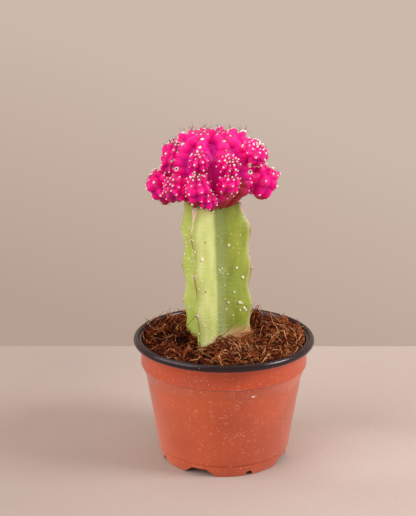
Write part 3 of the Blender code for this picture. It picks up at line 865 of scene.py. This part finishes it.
def make_stem_areoles(points):
    """Felt cushions on the rib edges, each with a dark eye and short spines."""
    rng = np.random.default_rng(8)
    heights, columns = [], []
    for rib, rib_heights in enumerate(AREOLE_HEIGHTS):
        heights += rib_heights
        columns += [2 * rib * SECTION_STEP + CORNER_STEPS // 2] * len(rib_heights)
    seats, normals = stem_seats(points, heights, columns)
    pad, pad_faces = ball_grid(3)
    cushions, faces, _ = scattered(pad, pad_faces, seats, normals, np.full(len(seats), 1.0), 0.5, rng)
    cushions += 0.12 * ripple(cushions, 1.1, 41)[:, None]
    felt = wool_paint("stem_felt", (176, 130, 96), (238, 214, 196))
    make_piece("stem_areoles", cushions, faces, felt, "green_stem")
    spot_heights, spot_columns = zip(*DARK_SPOTS)
    spots, facing = stem_seats(points, spot_heights, SECTION_STEP + np.array(spot_columns))
    centres = np.concatenate([seats + normals * 0.35, spots])
    sizes = np.concatenate([np.full(len(seats), 0.42), np.full(len(spots), 0.4)])
    facing = np.concatenate([normals, facing])
    eyes, faces, _ = scattered(pad, pad_faces, centres, facing, sizes, 0.8, rng)
    dark = spine_paint("stem_eyes", (58, 36, 26), (98, 66, 44))
    make_piece("stem_areole_eyes", eyes, faces, dark, "green_stem")
    points, faces = spines_at(seats + normals * 0.4, normals, rng, 2, 1.1, 0.14)
    thorn = spine_paint("stem_thorns", (52, 40, 38), (110, 80, 62))
    make_piece("stem_spines", points, faces, thorn, "green_stem")


def make_warts(points):
    """Corky warts: those that stand out on the front, then loose groups over all the flanks."""
    rng = np.random.default_rng(19)
    seats, normals, sizes = [], [], []
    front = slice(CORNER_STEPS // 2, 2 * SECTION_STEP + CORNER_STEPS // 2)
    left = slice(4 * SECTION_STEP + CORNER_STEPS // 2, 6 * SECTION_STEP + CORNER_STEPS // 2)
    for x, height, size in FRONT_WARTS:
        side = left if x < -18 else front
        row = round((height - STEM_BOTTOM) / (GRAFT_HEIGHT - STEM_BOTTOM) * (STEM_ROWS - 1))
        column = np.abs(points[row, side, 0] - x).argmin() + side.start
        seat, normal = stem_seats(points, [height], [column])
        seats.append(seat[0])
        normals.append(normal[0])
        sizes.append(size)
    for _ in range(WART_GROUPS):
        column = rng.integers(0, points.shape[1])
        height = rng.uniform(SOIL_LEVEL + 6, GRAFT_HEIGHT - 4)
        for _ in range(rng.integers(1, 4)):
            at = int(column + rng.normal(0, 3))
            seat, normal = stem_seats(points, [height + rng.normal(0, 1.8)], [at])
            seats.append(seat[0])
            normals.append(normal[0])
            sizes.append(rng.uniform(0.22, 0.42))
    ball, ball_faces = ball_grid(2)
    seats, normals, sizes = np.array(seats), np.array(normals), np.array(sizes)
    proud = seats + normals * sizes[:, None] * 0.25
    warts, faces, _ = scattered(ball, ball_faces, proud, normals, sizes, 0.75, rng)
    warts += 0.06 * ripple(warts, 0.8, 43)[:, None]
    cork = wool_paint("stem_cork", (222, 196, 150), (255, 250, 230))
    make_piece("stem_warts", warts, faces, cork, "green_stem")


# Coir -----------------------------------------------------------------------------------------------

COIR_HEIGHT = 65.4
# Mounds and hollows of the surface: x, y, rise and spread
COIR_LUMPS = (
    (-4, -16, 1.4, 9), (15, 16, 8.0, 8), (30, -4, 2.0, 9), (-31, 4, 2.0, 9),
    (-12, 30, 2.2, 9), (8, -33, 1.2, 9), (12, -3, -3.0, 7), (-16.5, -2, -6.0, 4.4),
    (-14, -17, -4.0, 5), (22, 34, -4.5, 9),
)
# Hollow beside the front rib, whose fibres get painted shade: x, y and radius
COIR_PIT = (-15.0, -9.0, 7.0)
# Fibres that lie on the coir: count, steps, length, spread of length, lift, curl, mix and half thickness
LONG_FIBRES = (3200, 7, 12.5, 0.35, 4.0, 1.9, 0.3, 0.18)
FLUFF = (3200, 4, 4.5, 0.3, 3.0, 1.4, 0.24, 0.15)
STRAND_COUNT = 1000
STRAND_RADIUS = 0.16
TUFT_RADIUS = 0.23
# Strands that stand up: azimuth, distance from the pot's axis, spread, count and rise
COIR_TUFTS = (
    (-88, 41, 2.0, 5, 4.5), (-72, 42, 2.0, 4, 4), (-105, 40, 2.5, 5, 4.5), (-140, 38, 3.0, 8, 3),
    (-165, 38, 3.0, 7, 3), (78, 41, 2.0, 5, 4.5), (95, 41, 2.0, 5, 4), (60, 42, 2.5, 4, 3),
    (120, 38, 3.0, 6, 3), (133, 20, 2.5, 34, 9), (150, 24, 3.0, 24, 6), (122, 25, 3.0, 18, 6),
    (0, 40, 9.0, 18, 3), (40, 19, 3.0, 12, 6),
)
COIR_COLUMNS = 240
COIR_ROWS = 90
COIR_CLEARANCE = 0.3



def coir_level(x, y):
    """Height of the coir's top at a point."""
    flat = np.stack([np.asarray(x, float), np.asarray(y, float)], axis=-1)
    height = COIR_HEIGHT + 1.3 * ripple(flat, 9.0, 24) + 0.8 * ripple(flat, 4.2, 25)
    for lump_x, lump_y, rise, spread in COIR_LUMPS:
        height = height + rise * np.exp(-((x - lump_x) ** 2 + (y - lump_y) ** 2) / (2 * spread ** 2))
    return height


def pot_inside(height):
    """Radius of the pot's inner wall."""
    stations = ((FLOOR_UNDERSIDE, FOOT_LINE[0] - 0.6), STEP_LOW[::-1], STEP_HIGH[::-1], COLLAR_TOP[::-1])
    levels, radii = zip(*stations)
    return np.interp(height, levels, radii) - WALL


def coir_paint(name, low, middle, high, straw):
    paint = Paint(name, roughness=0.85, Specular_IOR_Level=0.12)
    tint = paint.mark("tint")
    fine = paint.noise(1.3, 3.0, 0.6)
    value = paint.math("ADD", tint, paint.span(fine, 0.25, 0.75, -0.12, 0.12))
    colour = paint.mix(paint.span(value, 0.0, 0.45), low, middle)
    colour = paint.mix(paint.span(value, 0.45, 0.85), colour, high)
    paint.colour(paint.mix(paint.span(value, 0.9, 1.0), colour, straw))
    paint.bump(fine, 0.08)
    return paint.material


COIR_COLOURS = ((12, 3, 2), (96, 35, 16), (180, 92, 46), (234, 172, 118))


def make_coir_bed():
    """Closed lump of coir with a socket for the stem, under the loose fibres."""
    angles = np.arange(COIR_COLUMNS) * 2 * math.pi / COIR_COLUMNS
    spokes = strides(angles)
    rings = []

    def socket_ring(height, swell):
        reach = stem_reach(angles, height, swell)
        return stem_axis(height) + spokes * reach[:, None], np.full(COIR_COLUMNS, float(height))

    def wall_ring(height, inset):
        return spokes * (pot_inside(height) - inset), np.full(COIR_COLUMNS, float(height))

    rings.append((stem_axis(STEM_BOTTOM) + spokes * 0.5, np.full(COIR_COLUMNS, STEM_BOTTOM - 0.4)))
    for height in (STEM_BOTTOM - 0.4, STEM_BOTTOM + 4, 46, 54, 60):
        flat, _ = socket_ring(max(height, STEM_BOTTOM), COIR_CLEARANCE)
        rings.append((flat, np.full(COIR_COLUMNS, float(height))))
    inner, _ = socket_ring(SOIL_LEVEL, COIR_CLEARANCE)
    outer = spokes * (pot_inside(COIR_HEIGHT) - COIR_CLEARANCE - 0.2)
    for share in np.linspace(0, 1, COIR_ROWS) ** 0.9:
        flat = inner * (1 - share) + outer * share
        height = coir_level(*flat.T) - 0.9 - 1.6 * ease(0.93, 1.0, share)
        lumps = np.stack([flat[:, 0], flat[:, 1], height], axis=1)
        height = height + 0.7 * ripple(lumps, 6.0, 21) + 0.45 * ripple(lumps, 2.3, 22)
        rings.append((flat, height))
    for height in (58.0, STEP_HIGH[1], STEP_LOW[1], 20.0, FLOOR_UNDERSIDE + WALL + 2.0):
        rings.append(wall_ring(height, COIR_CLEARANCE))
    underside = np.full(COIR_COLUMNS, FLOOR_UNDERSIDE + WALL + COIR_CLEARANCE)
    rings.append((spokes * (pot_inside(FLOOR_UNDERSIDE) - 3.0), underside))
    rings.append((spokes * 0.5, underside))
    points = np.array([np.column_stack(ring) for ring in rings])
    faces = [tuple(reversed(face)) for face in loft_faces(len(rings), COIR_COLUMNS)]
    # Painted shade: the bed is coloured darker than the loose fibres, standing in for the shade in the
    # gaps between them.
    paint = coir_paint("coir_bed", (14, 5, 3), (52, 22, 13), (84, 40, 24), (110, 66, 40))
    tint = 0.45 + 0.25 * ripple(points.reshape(-1, 3), 3.0, 23)
    make_piece("coir_bed", points.reshape(-1, 3), faces, paint, "coir", ("coir_fill",), {"tint": tint})


def fibre_paths(rng, count, steps, length, spread, lift, curl, mix):
    """Centre lines of fibres that lie on the coir, and how pale each one is.

    They curl in plan, and each has its own level, slope and arch. Those lying lower and those in the
    hollow beside the front rib are darker, as painted shade; those further left are a little darker
    too, and those against the front of the stem are pale."""
    radius = np.sqrt(rng.uniform(0, 1, count)) * 45.0
    place = rng.uniform(0, 2 * math.pi, count)
    start = radius[:, None] * strides(place)
    heading = rng.uniform(0, 2 * math.pi, count)
    bend = rng.normal(0, curl, count)
    kink = rng.normal(0, curl * 0.7, (count, steps))
    size = length * rng.lognormal(0, spread, count)
    along = np.linspace(-0.5, 0.5, steps)
    turn = heading[:, None] + bend[:, None] * along + np.cumsum(kink, axis=1) / math.sqrt(steps)
    stride = (size / (steps - 1))[:, None]
    flat = np.cumsum(strides(turn) * stride[..., None], axis=1)
    flat += (start - flat.mean(axis=1))[:, None]
    flat = keep_clear(flat)
    level = lift * rng.beta(1.2, 1.6, count)[:, None]
    slope = rng.normal(0, 0.36, count)[:, None] * along * size[:, None]
    arch = rng.uniform(-0.12, 0.2, count)[:, None] * size[:, None] * (0.25 - along ** 2) * 2
    height = coir_level(flat[..., 0], flat[..., 1]) - 0.7 + level + slope + arch
    middle = flat.mean(axis=1)
    _, reach, inside = from_stem(flat)
    from_pit = np.hypot(middle[:, 0] - COIR_PIT[0], middle[:, 1] - COIR_PIT[1]) / COIR_PIT[2]
    # Painted shade: fibres lying lower, and fibres in the hollow beside the front rib, are darker.
    shade = 0.85 * level[:, 0] / lift - 0.1 - 1.5 * np.exp(-from_pit ** 2) + 0.003 * middle[:, 0]
    shade += 0.18 * ripple(middle, 6.0, 26) + 0.1 * ripple(middle, 9.0, 24)
    shade += rng.normal(0, mix, count)
    in_front = ease(2.5, 1.0, (reach - inside).min(axis=1)) * ease(-14.0, -10.0, middle[:, 0])
    shade = np.maximum(shade, (0.62 + 0.3 * ripple(middle, 1.6, 27)) * in_front)
    return np.concatenate([flat, height[..., None]], axis=2), shade


def from_stem(flat):
    """Offsets of plan points from the stem's axis, their length, and the length inside the stem."""
    spoke = flat - stem_axis(SOIL_LEVEL)
    angle = np.arctan2(spoke[..., 1], spoke[..., 0])
    inside = stem_reach(angle.ravel(), SOIL_LEVEL, 0.0).reshape(angle.shape)
    return spoke, np.hypot(spoke[..., 0], spoke[..., 1]), inside


def keep_clear(flat):
    """Pushes plan points out of the stem and inside the pot's wall."""
    spoke, reach, inside = from_stem(flat)
    flat = stem_axis(SOIL_LEVEL) + spoke * (np.maximum(reach, inside + 0.35) / reach)[..., None]
    radius = np.hypot(flat[..., 0], flat[..., 1])
    return flat * np.minimum(1, (pot_inside(COIR_HEIGHT) - 0.5) / radius)[..., None]


def make_fibres(name, rng, paths, thickness, paint, tint):
    count, steps = paths.shape[:2]
    taper = 1 - 0.65 * np.abs(np.linspace(-1, 1, steps)) ** 3
    radii = thickness * rng.lognormal(0, 0.3, count)[:, None] * taper
    points, faces, owner = tubes(paths, radii)
    make_piece(name, points, faces, paint, "coir", (), {"tint": tint[owner]})


def standing_strands(rng):
    """Long pale strands that curl on the coir and arch out of it, and how pale each one is."""
    steps = 14
    paths = []
    for _ in range(STRAND_COUNT):
        radius = math.sqrt(rng.uniform(0.05, 1)) * 42
        place = rng.uniform(0, 2 * math.pi)
        start = radius * np.array([math.cos(place), math.sin(place)])
        heading = rng.uniform(0, 2 * math.pi)
        size = rng.uniform(7, 24)
        turn = heading + rng.normal(0, 1.2) * np.linspace(0, 1, steps)
        turn = turn + np.cumsum(rng.normal(0, 0.2, steps))
        flat = start + np.cumsum(strides(turn), axis=0) * size / steps
        flat = keep_clear(flat)
        share = np.linspace(0, 1, steps)
        rise = rng.uniform(0.03, 0.2) * size
        rise = rise * np.sin(math.pi * np.clip(share * rng.uniform(0.55, 1.1), 0, 1))
        height = coir_level(*start) - 1.0 + rise
        paths.append(np.column_stack([flat, height]))
    paths = np.array(paths)
    _, reach, inside = from_stem(paths[..., :2])
    shade = 0.25 + 0.95 * rng.beta(1.5, 2.0, len(paths)) + 0.003 * paths[:, 0, 0]
    beside_stem = ((reach - inside).min(axis=1) < 2.0) & (paths[:, :, 0].min(axis=1) > -12)
    return paths, np.maximum(shade, beside_stem * rng.uniform(0.8, 1.0, len(paths)))


def tuft_strands(rng):
    """Strands that stand up round the rim and behind the stem."""
    steps = 10
    share = np.linspace(0, 1, steps)
    paths = []
    for azimuth, radius, spread, count, rise in COIR_TUFTS:
        for _ in range(count):
            foot = outward(azimuth)[:2] * radius + rng.normal(0, spread, 2)
            heading = rng.uniform(0, 2 * math.pi)
            turn = heading + rng.normal(0, 0.8) * share
            size = rise * rng.uniform(0.6, 1.3)
            flat = foot + np.cumsum(strides(turn), axis=0) * size * 0.5 / steps
            flat = keep_clear(flat)
            climb = size * np.sin(share * rng.uniform(1.1, 2.0)) - 1.5
            paths.append(np.column_stack([flat, coir_level(*foot) + climb]))
    return np.array(paths)


def make_coir():
    make_coir_bed()
    rng = np.random.default_rng(11)
    paint = coir_paint("coir_fibre", *COIR_COLOURS)
    lying = {"coir_fibres_0": LONG_FIBRES, "coir_fibres_1": LONG_FIBRES, "coir_fluff": FLUFF}
    for name, (*layout, thickness) in lying.items():
        paths, shade = fibre_paths(rng, *layout)
        make_fibres(name, rng, paths, thickness, paint, shade)
    paths, shade = standing_strands(rng)
    make_fibres("coir_strands", rng, paths, STRAND_RADIUS, paint, shade)
    paths = tuft_strands(rng)
    make_fibres("coir_tufts", rng, paths, TUFT_RADIUS, paint, rng.uniform(0.5, 1.05, len(paths)))


# Scion ----------------------------------------------------------------------------------------------

def spread_bumps(directions, centres, lengthwise, sideways, heights, powers):
    """Relief of rounded tubercles on a ball: the highest bump at each direction, and its share.

    Centres are (polar angle, azimuth) and the widths are half sizes, all in radians."""
    polar = np.arccos(np.clip(directions[:, 2], -1, 1))
    azimuth = np.arctan2(directions[:, 1], directions[:, 0])
    relief = np.zeros(len(directions))
    crest = np.zeros(len(directions))
    bumps = zip(centres, lengthwise, sideways, heights, powers)
    for (down, around), length, width, height, power in bumps:
        across = (azimuth - around + math.pi) % (2 * math.pi) - math.pi
        across = across * np.maximum(np.sin((polar + down) / 2), 0.05)
        apart = ((polar - down) / length) ** 2 + (across / width) ** 2
        bump = np.clip(1 - apart ** power, 0, 1)
        relief = np.maximum(relief, bump * height)
        crest = np.maximum(crest, bump)
    return relief, crest


def ball_direction(polar, azimuth):
    flat = np.sin(polar)
    return np.stack([flat * np.cos(azimuth), flat * np.sin(azimuth), np.cos(polar)], axis=-1)


class Lobe:
    """Tubercled ball: a surface over directions, with its areoles."""

    def __init__(self, base, centres, lengthwise, sideways, heights, powers, place):
        self.base = base
        self.bumps = (np.array(centres), lengthwise, sideways, heights, powers)
        self.place = place

    def points(self, directions):
        relief, crest = spread_bumps(directions, *self.bumps)
        return self.place(directions * (self.base(directions) + relief)[:, None]), crest

    def seats(self, directions):
        """Points and outward normals at directions."""
        step = 0.03
        side = unit(np.cross(directions, [0.31, 0.62, 0.72]))
        up = np.cross(directions, side)
        here, _ = self.points(directions)
        ahead, _ = self.points(unit(directions + side * step))
        above, _ = self.points(unit(directions + up * step))
        normals = unit(np.cross(ahead - here, above - here))
        return here, normals


def head_base(directions):
    """Distance from the head's centre to its surface, before its tubercles."""
    flat = np.hypot(directions[:, 0], directions[:, 1])
    upper = directions[:, 2] > 0
    rise = np.where(upper, HEAD_RISE, HEAD_DROP)
    power = np.where(upper, *HEAD_ROUNDNESS)
    reach = ((flat / HEAD_RADIUS) ** power + (np.abs(directions[:, 2]) / rise) ** power) ** (-1 / power)
    azimuth = np.arctan2(directions[:, 0], -directions[:, 1]) - math.radians(HEAD_FURROW_AZIMUTH + 20)
    crest = np.abs(np.cos(HEAD_RIBS * azimuth / 2)) ** CREST_SHARPNESS
    reach *= 1 - HEAD_FURROW_DEPTH * np.minimum(1, flat * 1.3) * (1 - crest)
    return reach - 0.7


def past_stem(points):
    """How far points reach past the edge of the stem's top."""
    spokes = points[:, :2] - stem_axis(GRAFT_HEIGHT)
    angles = np.arctan2(spokes[:, 1], spokes[:, 0])
    return np.hypot(*spokes.T) - stem_reach(angles, GRAFT_HEIGHT)


def overhang(points):
    """How far the head's rim sags, in scallops, where it reaches past the stem's top."""
    scallops = 0.6 + 0.4 * np.cos(HEAD_RIBS * 2 * np.arctan2(points[:, 1], points[:, 0] - HEAD_CENTRE[0]))
    sag = ease(0.2, 2.0, past_stem(points)) * ease(GRAFT_HEIGHT + 5, GRAFT_HEIGHT + 0.5, points[:, 2])
    return 2.0 * scallops * sag


def make_head_lobe(rng):
    centres, lengthwise, sideways, heights, powers, areoles = [], [], [], [], [], []
    for rib, polars in HEAD_AREOLES.items():
        around = math.radians(rib - 90)
        polars = np.radians(polars)
        gaps = np.append(np.diff(polars), math.radians(13))
        for polar, gap in zip(polars, gaps):
            crown = polar < 0.85
            swell = 4.2 if polar < 0.7 else (2.8 if crown else 2.1)
            middle = polar + gap * (0.35 if crown else 0.2)
            centres.append((middle, around + rng.normal(0, 0.05)))
            lengthwise.append(gap * (0.85 if crown else 0.8))
            width = (19.5 if crown else 21) * (0.76 if abs(rib - HEAD_FURROW_AZIMUTH) < 25 else 1)
            sideways.append(math.radians(width) * max(0.5, math.sin(middle)))
            heights.append(swell * rng.uniform(0.85, 1.15))
            powers.append(1.3 if crown else 0.9)
            areoles.append((polar + (0.04 if crown else 0), around))
    for azimuth, polar, half_width, height in HEAD_FINGERS:
        centres.append((math.radians(polar), math.radians(azimuth - 90)))
        lengthwise.append(half_width / 20)
        sideways.append(half_width / 20)
        heights.append(height + 3.0)
        powers.append(1.6)
        areoles.append((math.radians(polar - 3), math.radians(azimuth - 90)))

    def place(points):
        flat = np.hypot(points[:, 0], points[:, 1]) / HEAD_RADIUS
        dimple = np.where(points[:, 2] > 0, HEAD_DIMPLE * np.exp(-(flat * 3.4) ** 2), 0)
        placed = HEAD_CENTRE + points - dimple[:, None] * [0, 0, 1]
        placed[:, 2] = np.maximum(placed[:, 2], GRAFT_HEIGHT + 0.05) - overhang(placed)
        return placed

    lobe = Lobe(head_base, centres, lengthwise, sideways, heights, powers, place)
    return lobe, np.array(areoles)


def make_offset_lobe(shape):
    azimuth, height, distance, radius, stretch, pointing, grain, ribs, seed = shape
    rng = np.random.default_rng(seed)
    facing = outward(azimuth)
    lift = math.radians(pointing)
    axis = facing * math.cos(lift) + np.array([0, 0, math.sin(lift)])
    side = unit(np.cross([0.0, 0.0, 1.0], facing))
    front = np.cross(side, axis)
    turned = np.stack([side, front, axis * stretch])
    centre = np.array([HEAD_CENTRE[0], HEAD_CENTRE[1], height]) + facing * distance
    start = rng.uniform(0, 2 * math.pi)
    twist = rng.uniform(-0.25, 0.25)
    centres, lengthwise, sideways, heights, areoles = [], [], [], [], []
    for rib in range(ribs):
        around = start + 2 * math.pi * rib / ribs
        polar = (0.4 if rib % 2 else 0.95) * grain / radius
        while polar < math.radians(150):
            size = grain * (0.3 + 0.8 * math.sin(min(polar, 1.5))) * rng.uniform(0.85, 1.18)
            gap = size / (radius * (1 + stretch) / 2)
            middle = polar + gap * 0.12
            at = around + twist * polar + rng.normal(0, 0.09)
            centres.append((middle, at))
            lengthwise.append(gap * rng.uniform(0.85, 1.05))
            sideways.append(math.pi / ribs * max(0.3, math.sin(middle)) * rng.uniform(1.5, 1.8))
            heights.append(min(3.8, size * 0.72) * rng.uniform(0.8, 1.2))
            areoles.append((polar + gap * 0.1, at))
            polar += gap

    def base(directions):
        around = np.arctan2(directions[:, 1], directions[:, 0]) - start
        around = around - twist * np.arccos(np.clip(directions[:, 2], -1, 1))
        crest = np.abs(np.cos(ribs * around / 2)) ** 0.8
        flat = np.hypot(directions[:, 0], directions[:, 1])
        return radius * (1 - 0.04 * flat * (1 - crest)) - min(2.5, grain * 0.45)

    powers = rng.uniform(0.5, 0.62, len(centres))

    def place(points):
        return centre + points @ turned

    lobe = Lobe(base, centres, lengthwise, sideways, heights, powers, place)
    return lobe, np.array(areoles)


def pink_paint(name, deep, body, light):
    paint = Paint(name, roughness=0.42, Subsurface_Weight=0.2, Subsurface_Scale=1.0 * MM)
    paint.shader.inputs["Subsurface Radius"].default_value = (1.0, 0.15, 0.3)
    paint.shader.inputs["Specular IOR Level"].default_value = 0.16
    crest = paint.mark("crest")
    fine = paint.noise(0.9, 3.0, 0.6)
    cloud = paint.noise(6.0, 2.0)
    # Partly painted shade and highlight: the skin is deep magenta in the furrows and paler on the
    # tubercles' crests, partly its own tone and partly the light on them.
    value = paint.math("ADD", crest, paint.span(cloud, 0.3, 0.7, -0.14, 0.14))
    value = paint.math("SUBTRACT", value, paint.mark("shade"))
    colour = paint.mix(paint.span(value, 0.05, 0.5), deep, body)
    colour = paint.mix(paint.span(value, 0.55, 1.0, 0.0, 0.8), colour, light)
    under = paint.math("ADD", paint.mark("under"), paint.span(cloud, 0.3, 0.7, -0.25, 0.25))
    colour = paint.mix(paint.span(under, 0.3, 0.9, 0.0, 0.9), colour, (160, 38, 44))
    colour = paint.mix(paint.mark("scar"), colour, (66, 34, 26))
    paint.colour(colour)
    paint.gloss(paint.span(fine, 0.3, 0.7, 0.36, 0.5))
    paint.bump(fine, 0.04)
    return paint.material


def wool_paint(name, dark, light):
    paint = Paint(name, roughness=0.9, Sheen_Weight=0.2)
    fine = paint.noise(0.35, 4.0, 0.7)
    paint.colour(paint.mix(paint.span(fine, 0.25, 0.6), dark, light))
    paint.bump(fine, 0.12)
    return paint.material


def spine_paint(name, dark, light):
    paint = Paint(name, roughness=0.55)
    fine = paint.noise(1.6, 2.0)
    paint.colour(paint.mix(paint.span(fine, 0.35, 0.65), dark, light))
    paint.bump(fine, 0.02)
    return paint.material


def spines_at(seats, normals, rng, per_areole, length, thickness):
    """Curved, tapering spines that fan out of each areole."""
    count = len(seats) * per_areole
    base = np.repeat(seats, per_areole, axis=0)
    normal = np.repeat(normals, per_areole, axis=0)
    side = unit(np.cross(normal, rng.normal(size=(count, 3))))
    lean = rng.uniform(0.25, 1.25, count)[:, None]
    direction = normal * np.cos(lean) + side * np.sin(lean)
    size = length * rng.uniform(0.55, 1.25, count)[:, None]
    share = np.linspace(0, 1, 4)
    curve = rng.uniform(-0.1, 0.3, count)[:, None] * size
    paths = base[:, None] + direction[:, None] * (size * share)[..., None]
    paths += normal[:, None] * (curve * share ** 2)[..., None]
    radii = thickness * (1 - 0.8 * share) * rng.uniform(0.8, 1.2, count)[:, None]
    points, faces, _ = tubes(paths, radii)
    return points, faces


def head_marks(points, crest):
    """Red underside, which reaches higher on the bare front right partly as painted shade, painted shade
    below the crown, and the dark line of the graft.
    """
    azimuth = np.degrees(np.arctan2(points[:, 0] - HEAD_CENTRE[0], -points[:, 1]))
    bare = np.exp(-((azimuth - 44) / 12) ** 2)
    front = np.exp(-((azimuth - 10) / 14) ** 2)
    graft_line = ease(GRAFT_HEIGHT + 1.0, GRAFT_HEIGHT + 0.4, points[:, 2])
    return {
        "crest": crest,
        "shade": (0.22 + 0.3 * np.exp(-((azimuth - 50) / 14) ** 2)) * ease(178, 167, points[:, 2]),
        # The underside reaches higher on the bare front right as painted shade.
        "under": ease(156 + 10 * bare - 5 * front, 150 + 5 * bare - 4 * front, points[:, 2]),
        "scar": graft_line * ease(1.0, 0.0, past_stem(points)),
    }


def make_scars(lobe, rng, wool):
    """Rings of wool round a black eye, where old tubercles have dried."""
    azimuths, polars, sizes = np.array(HEAD_SCARS).T
    seats, normals = lobe.seats(ball_direction(np.radians(polars), np.radians(azimuths - 90)))
    shape, shape_faces = ball_grid(5)
    rings, faces, _ = scattered(shape, shape_faces, seats, normals, sizes, 0.55, rng)
    rings += 0.2 * ripple(rings, 0.9, 33)[:, None]
    make_piece("scar_rings", rings, faces, wool, "pink_scion")
    raised = seats + normals * sizes[:, None] * 0.28
    eyes, faces, _ = scattered(shape, shape_faces, raised, normals, sizes * 0.58, 0.75, rng)
    black = spine_paint("scar_black", (20, 12, 12), (44, 28, 24))
    make_piece("scar_eyes", eyes, faces, black, "pink_scion")


def make_head(rng, wool, spine):
    wool_shape, wool_faces = ball_grid(2)
    directions, faces = ball_grid(85)
    lobe, areoles = make_head_lobe(rng)
    points, crest = lobe.points(directions)
    paint = pink_paint("head_skin", (200, 0, 128), (236, 0, 132), (250, 44, 144))
    marks = head_marks(points, crest)
    make_piece("cactus_head", points, faces, paint, "pink_scion", ("scion_head",), marks)
    seats, normals = lobe.seats(ball_direction(*areoles.T))
    proud = (areoles[:, 0] > math.radians(30)) & (areoles[:, 0] < math.radians(52))
    sizes = np.where(proud, 0.95, 0.55) * rng.uniform(0.85, 1.15, len(seats))
    puffs, puff_faces, _ = scattered(wool_shape, wool_faces, seats, normals, sizes, 0.75, rng)
    puffs += 0.14 * ripple(puffs, 0.7, 31)[:, None]
    make_piece("head_areoles", puffs, puff_faces, wool, "pink_scion")
    make_piece("head_spines", *spines_at(seats, normals, rng, 5, 3.8, 0.14), spine, "pink_scion")
    make_scars(lobe, rng, wool)


def make_offsets(rng, wool, spine):
    wool_shape, wool_faces = ball_grid(1)
    directions, faces = ball_grid(32)
    paint = pink_paint("offset_skin", (182, 0, 116), (238, 0, 134), (252, 64, 152))
    woolly, spiny = [], []
    for node, shape in OFFSETS.items():
        lobe, areoles = make_offset_lobe(shape)
        points, crest = lobe.points(directions)
        _, height, _, radius, _, _, grain, _, _ = shape
        bottom = height - radius
        low = height < HEAD_CENTRE[2]
        under = low * ease(bottom + 3.5, bottom - 1.5, points[:, 2])
        shade = 0.3 * ease(height + radius * 0.5, height - radius * 0.7, points[:, 2])
        marks = {"crest": crest, "shade": shade, "under": under, "scar": np.zeros(len(points))}
        make_piece(node + "_growth", points, faces, paint, "pink_offset", (node,), marks)
        seats, normals = lobe.seats(ball_direction(*areoles.T))
        from_axis = np.hypot(*(seats - HEAD_CENTRE)[:, :2].T)
        free = (from_axis > HEAD_RADIUS - 1) | (seats[:, 2] > HEAD_CENTRE[2] + HEAD_RISE - 3)
        seats, normals = seats[free], normals[free]
        sizes = (0.34 + 0.035 * grain) * rng.uniform(0.7, 1.35, len(seats))
        woolly.append(scattered(wool_shape, wool_faces, seats, normals, sizes, 0.7, rng)[:2])
        spiny.append(spines_at(seats, normals, rng, 4, 3.5, 0.13))
    points, faces = join(woolly)
    points += 0.1 * ripple(points, 0.5, 32)[:, None]
    make_piece("offset_areoles", points, faces, wool, "pink_offset")
    make_piece("offset_spines", *join(spiny), spine, "pink_offset")


def make_scion():
    rng = np.random.default_rng(5)
    wool = wool_paint("areole_wool", (230, 200, 180), (255, 252, 244))
    spine = spine_paint("scion_spines", (92, 62, 58), (160, 120, 110))
    make_head(rng, wool, spine)
    make_offsets(rng, wool, spine)


# Scene ----------------------------------------------------------------------------------------------


make_camera()
set_view()
make_table()
make_light()
make_pot()
make_stem()
make_coir()
make_scion()
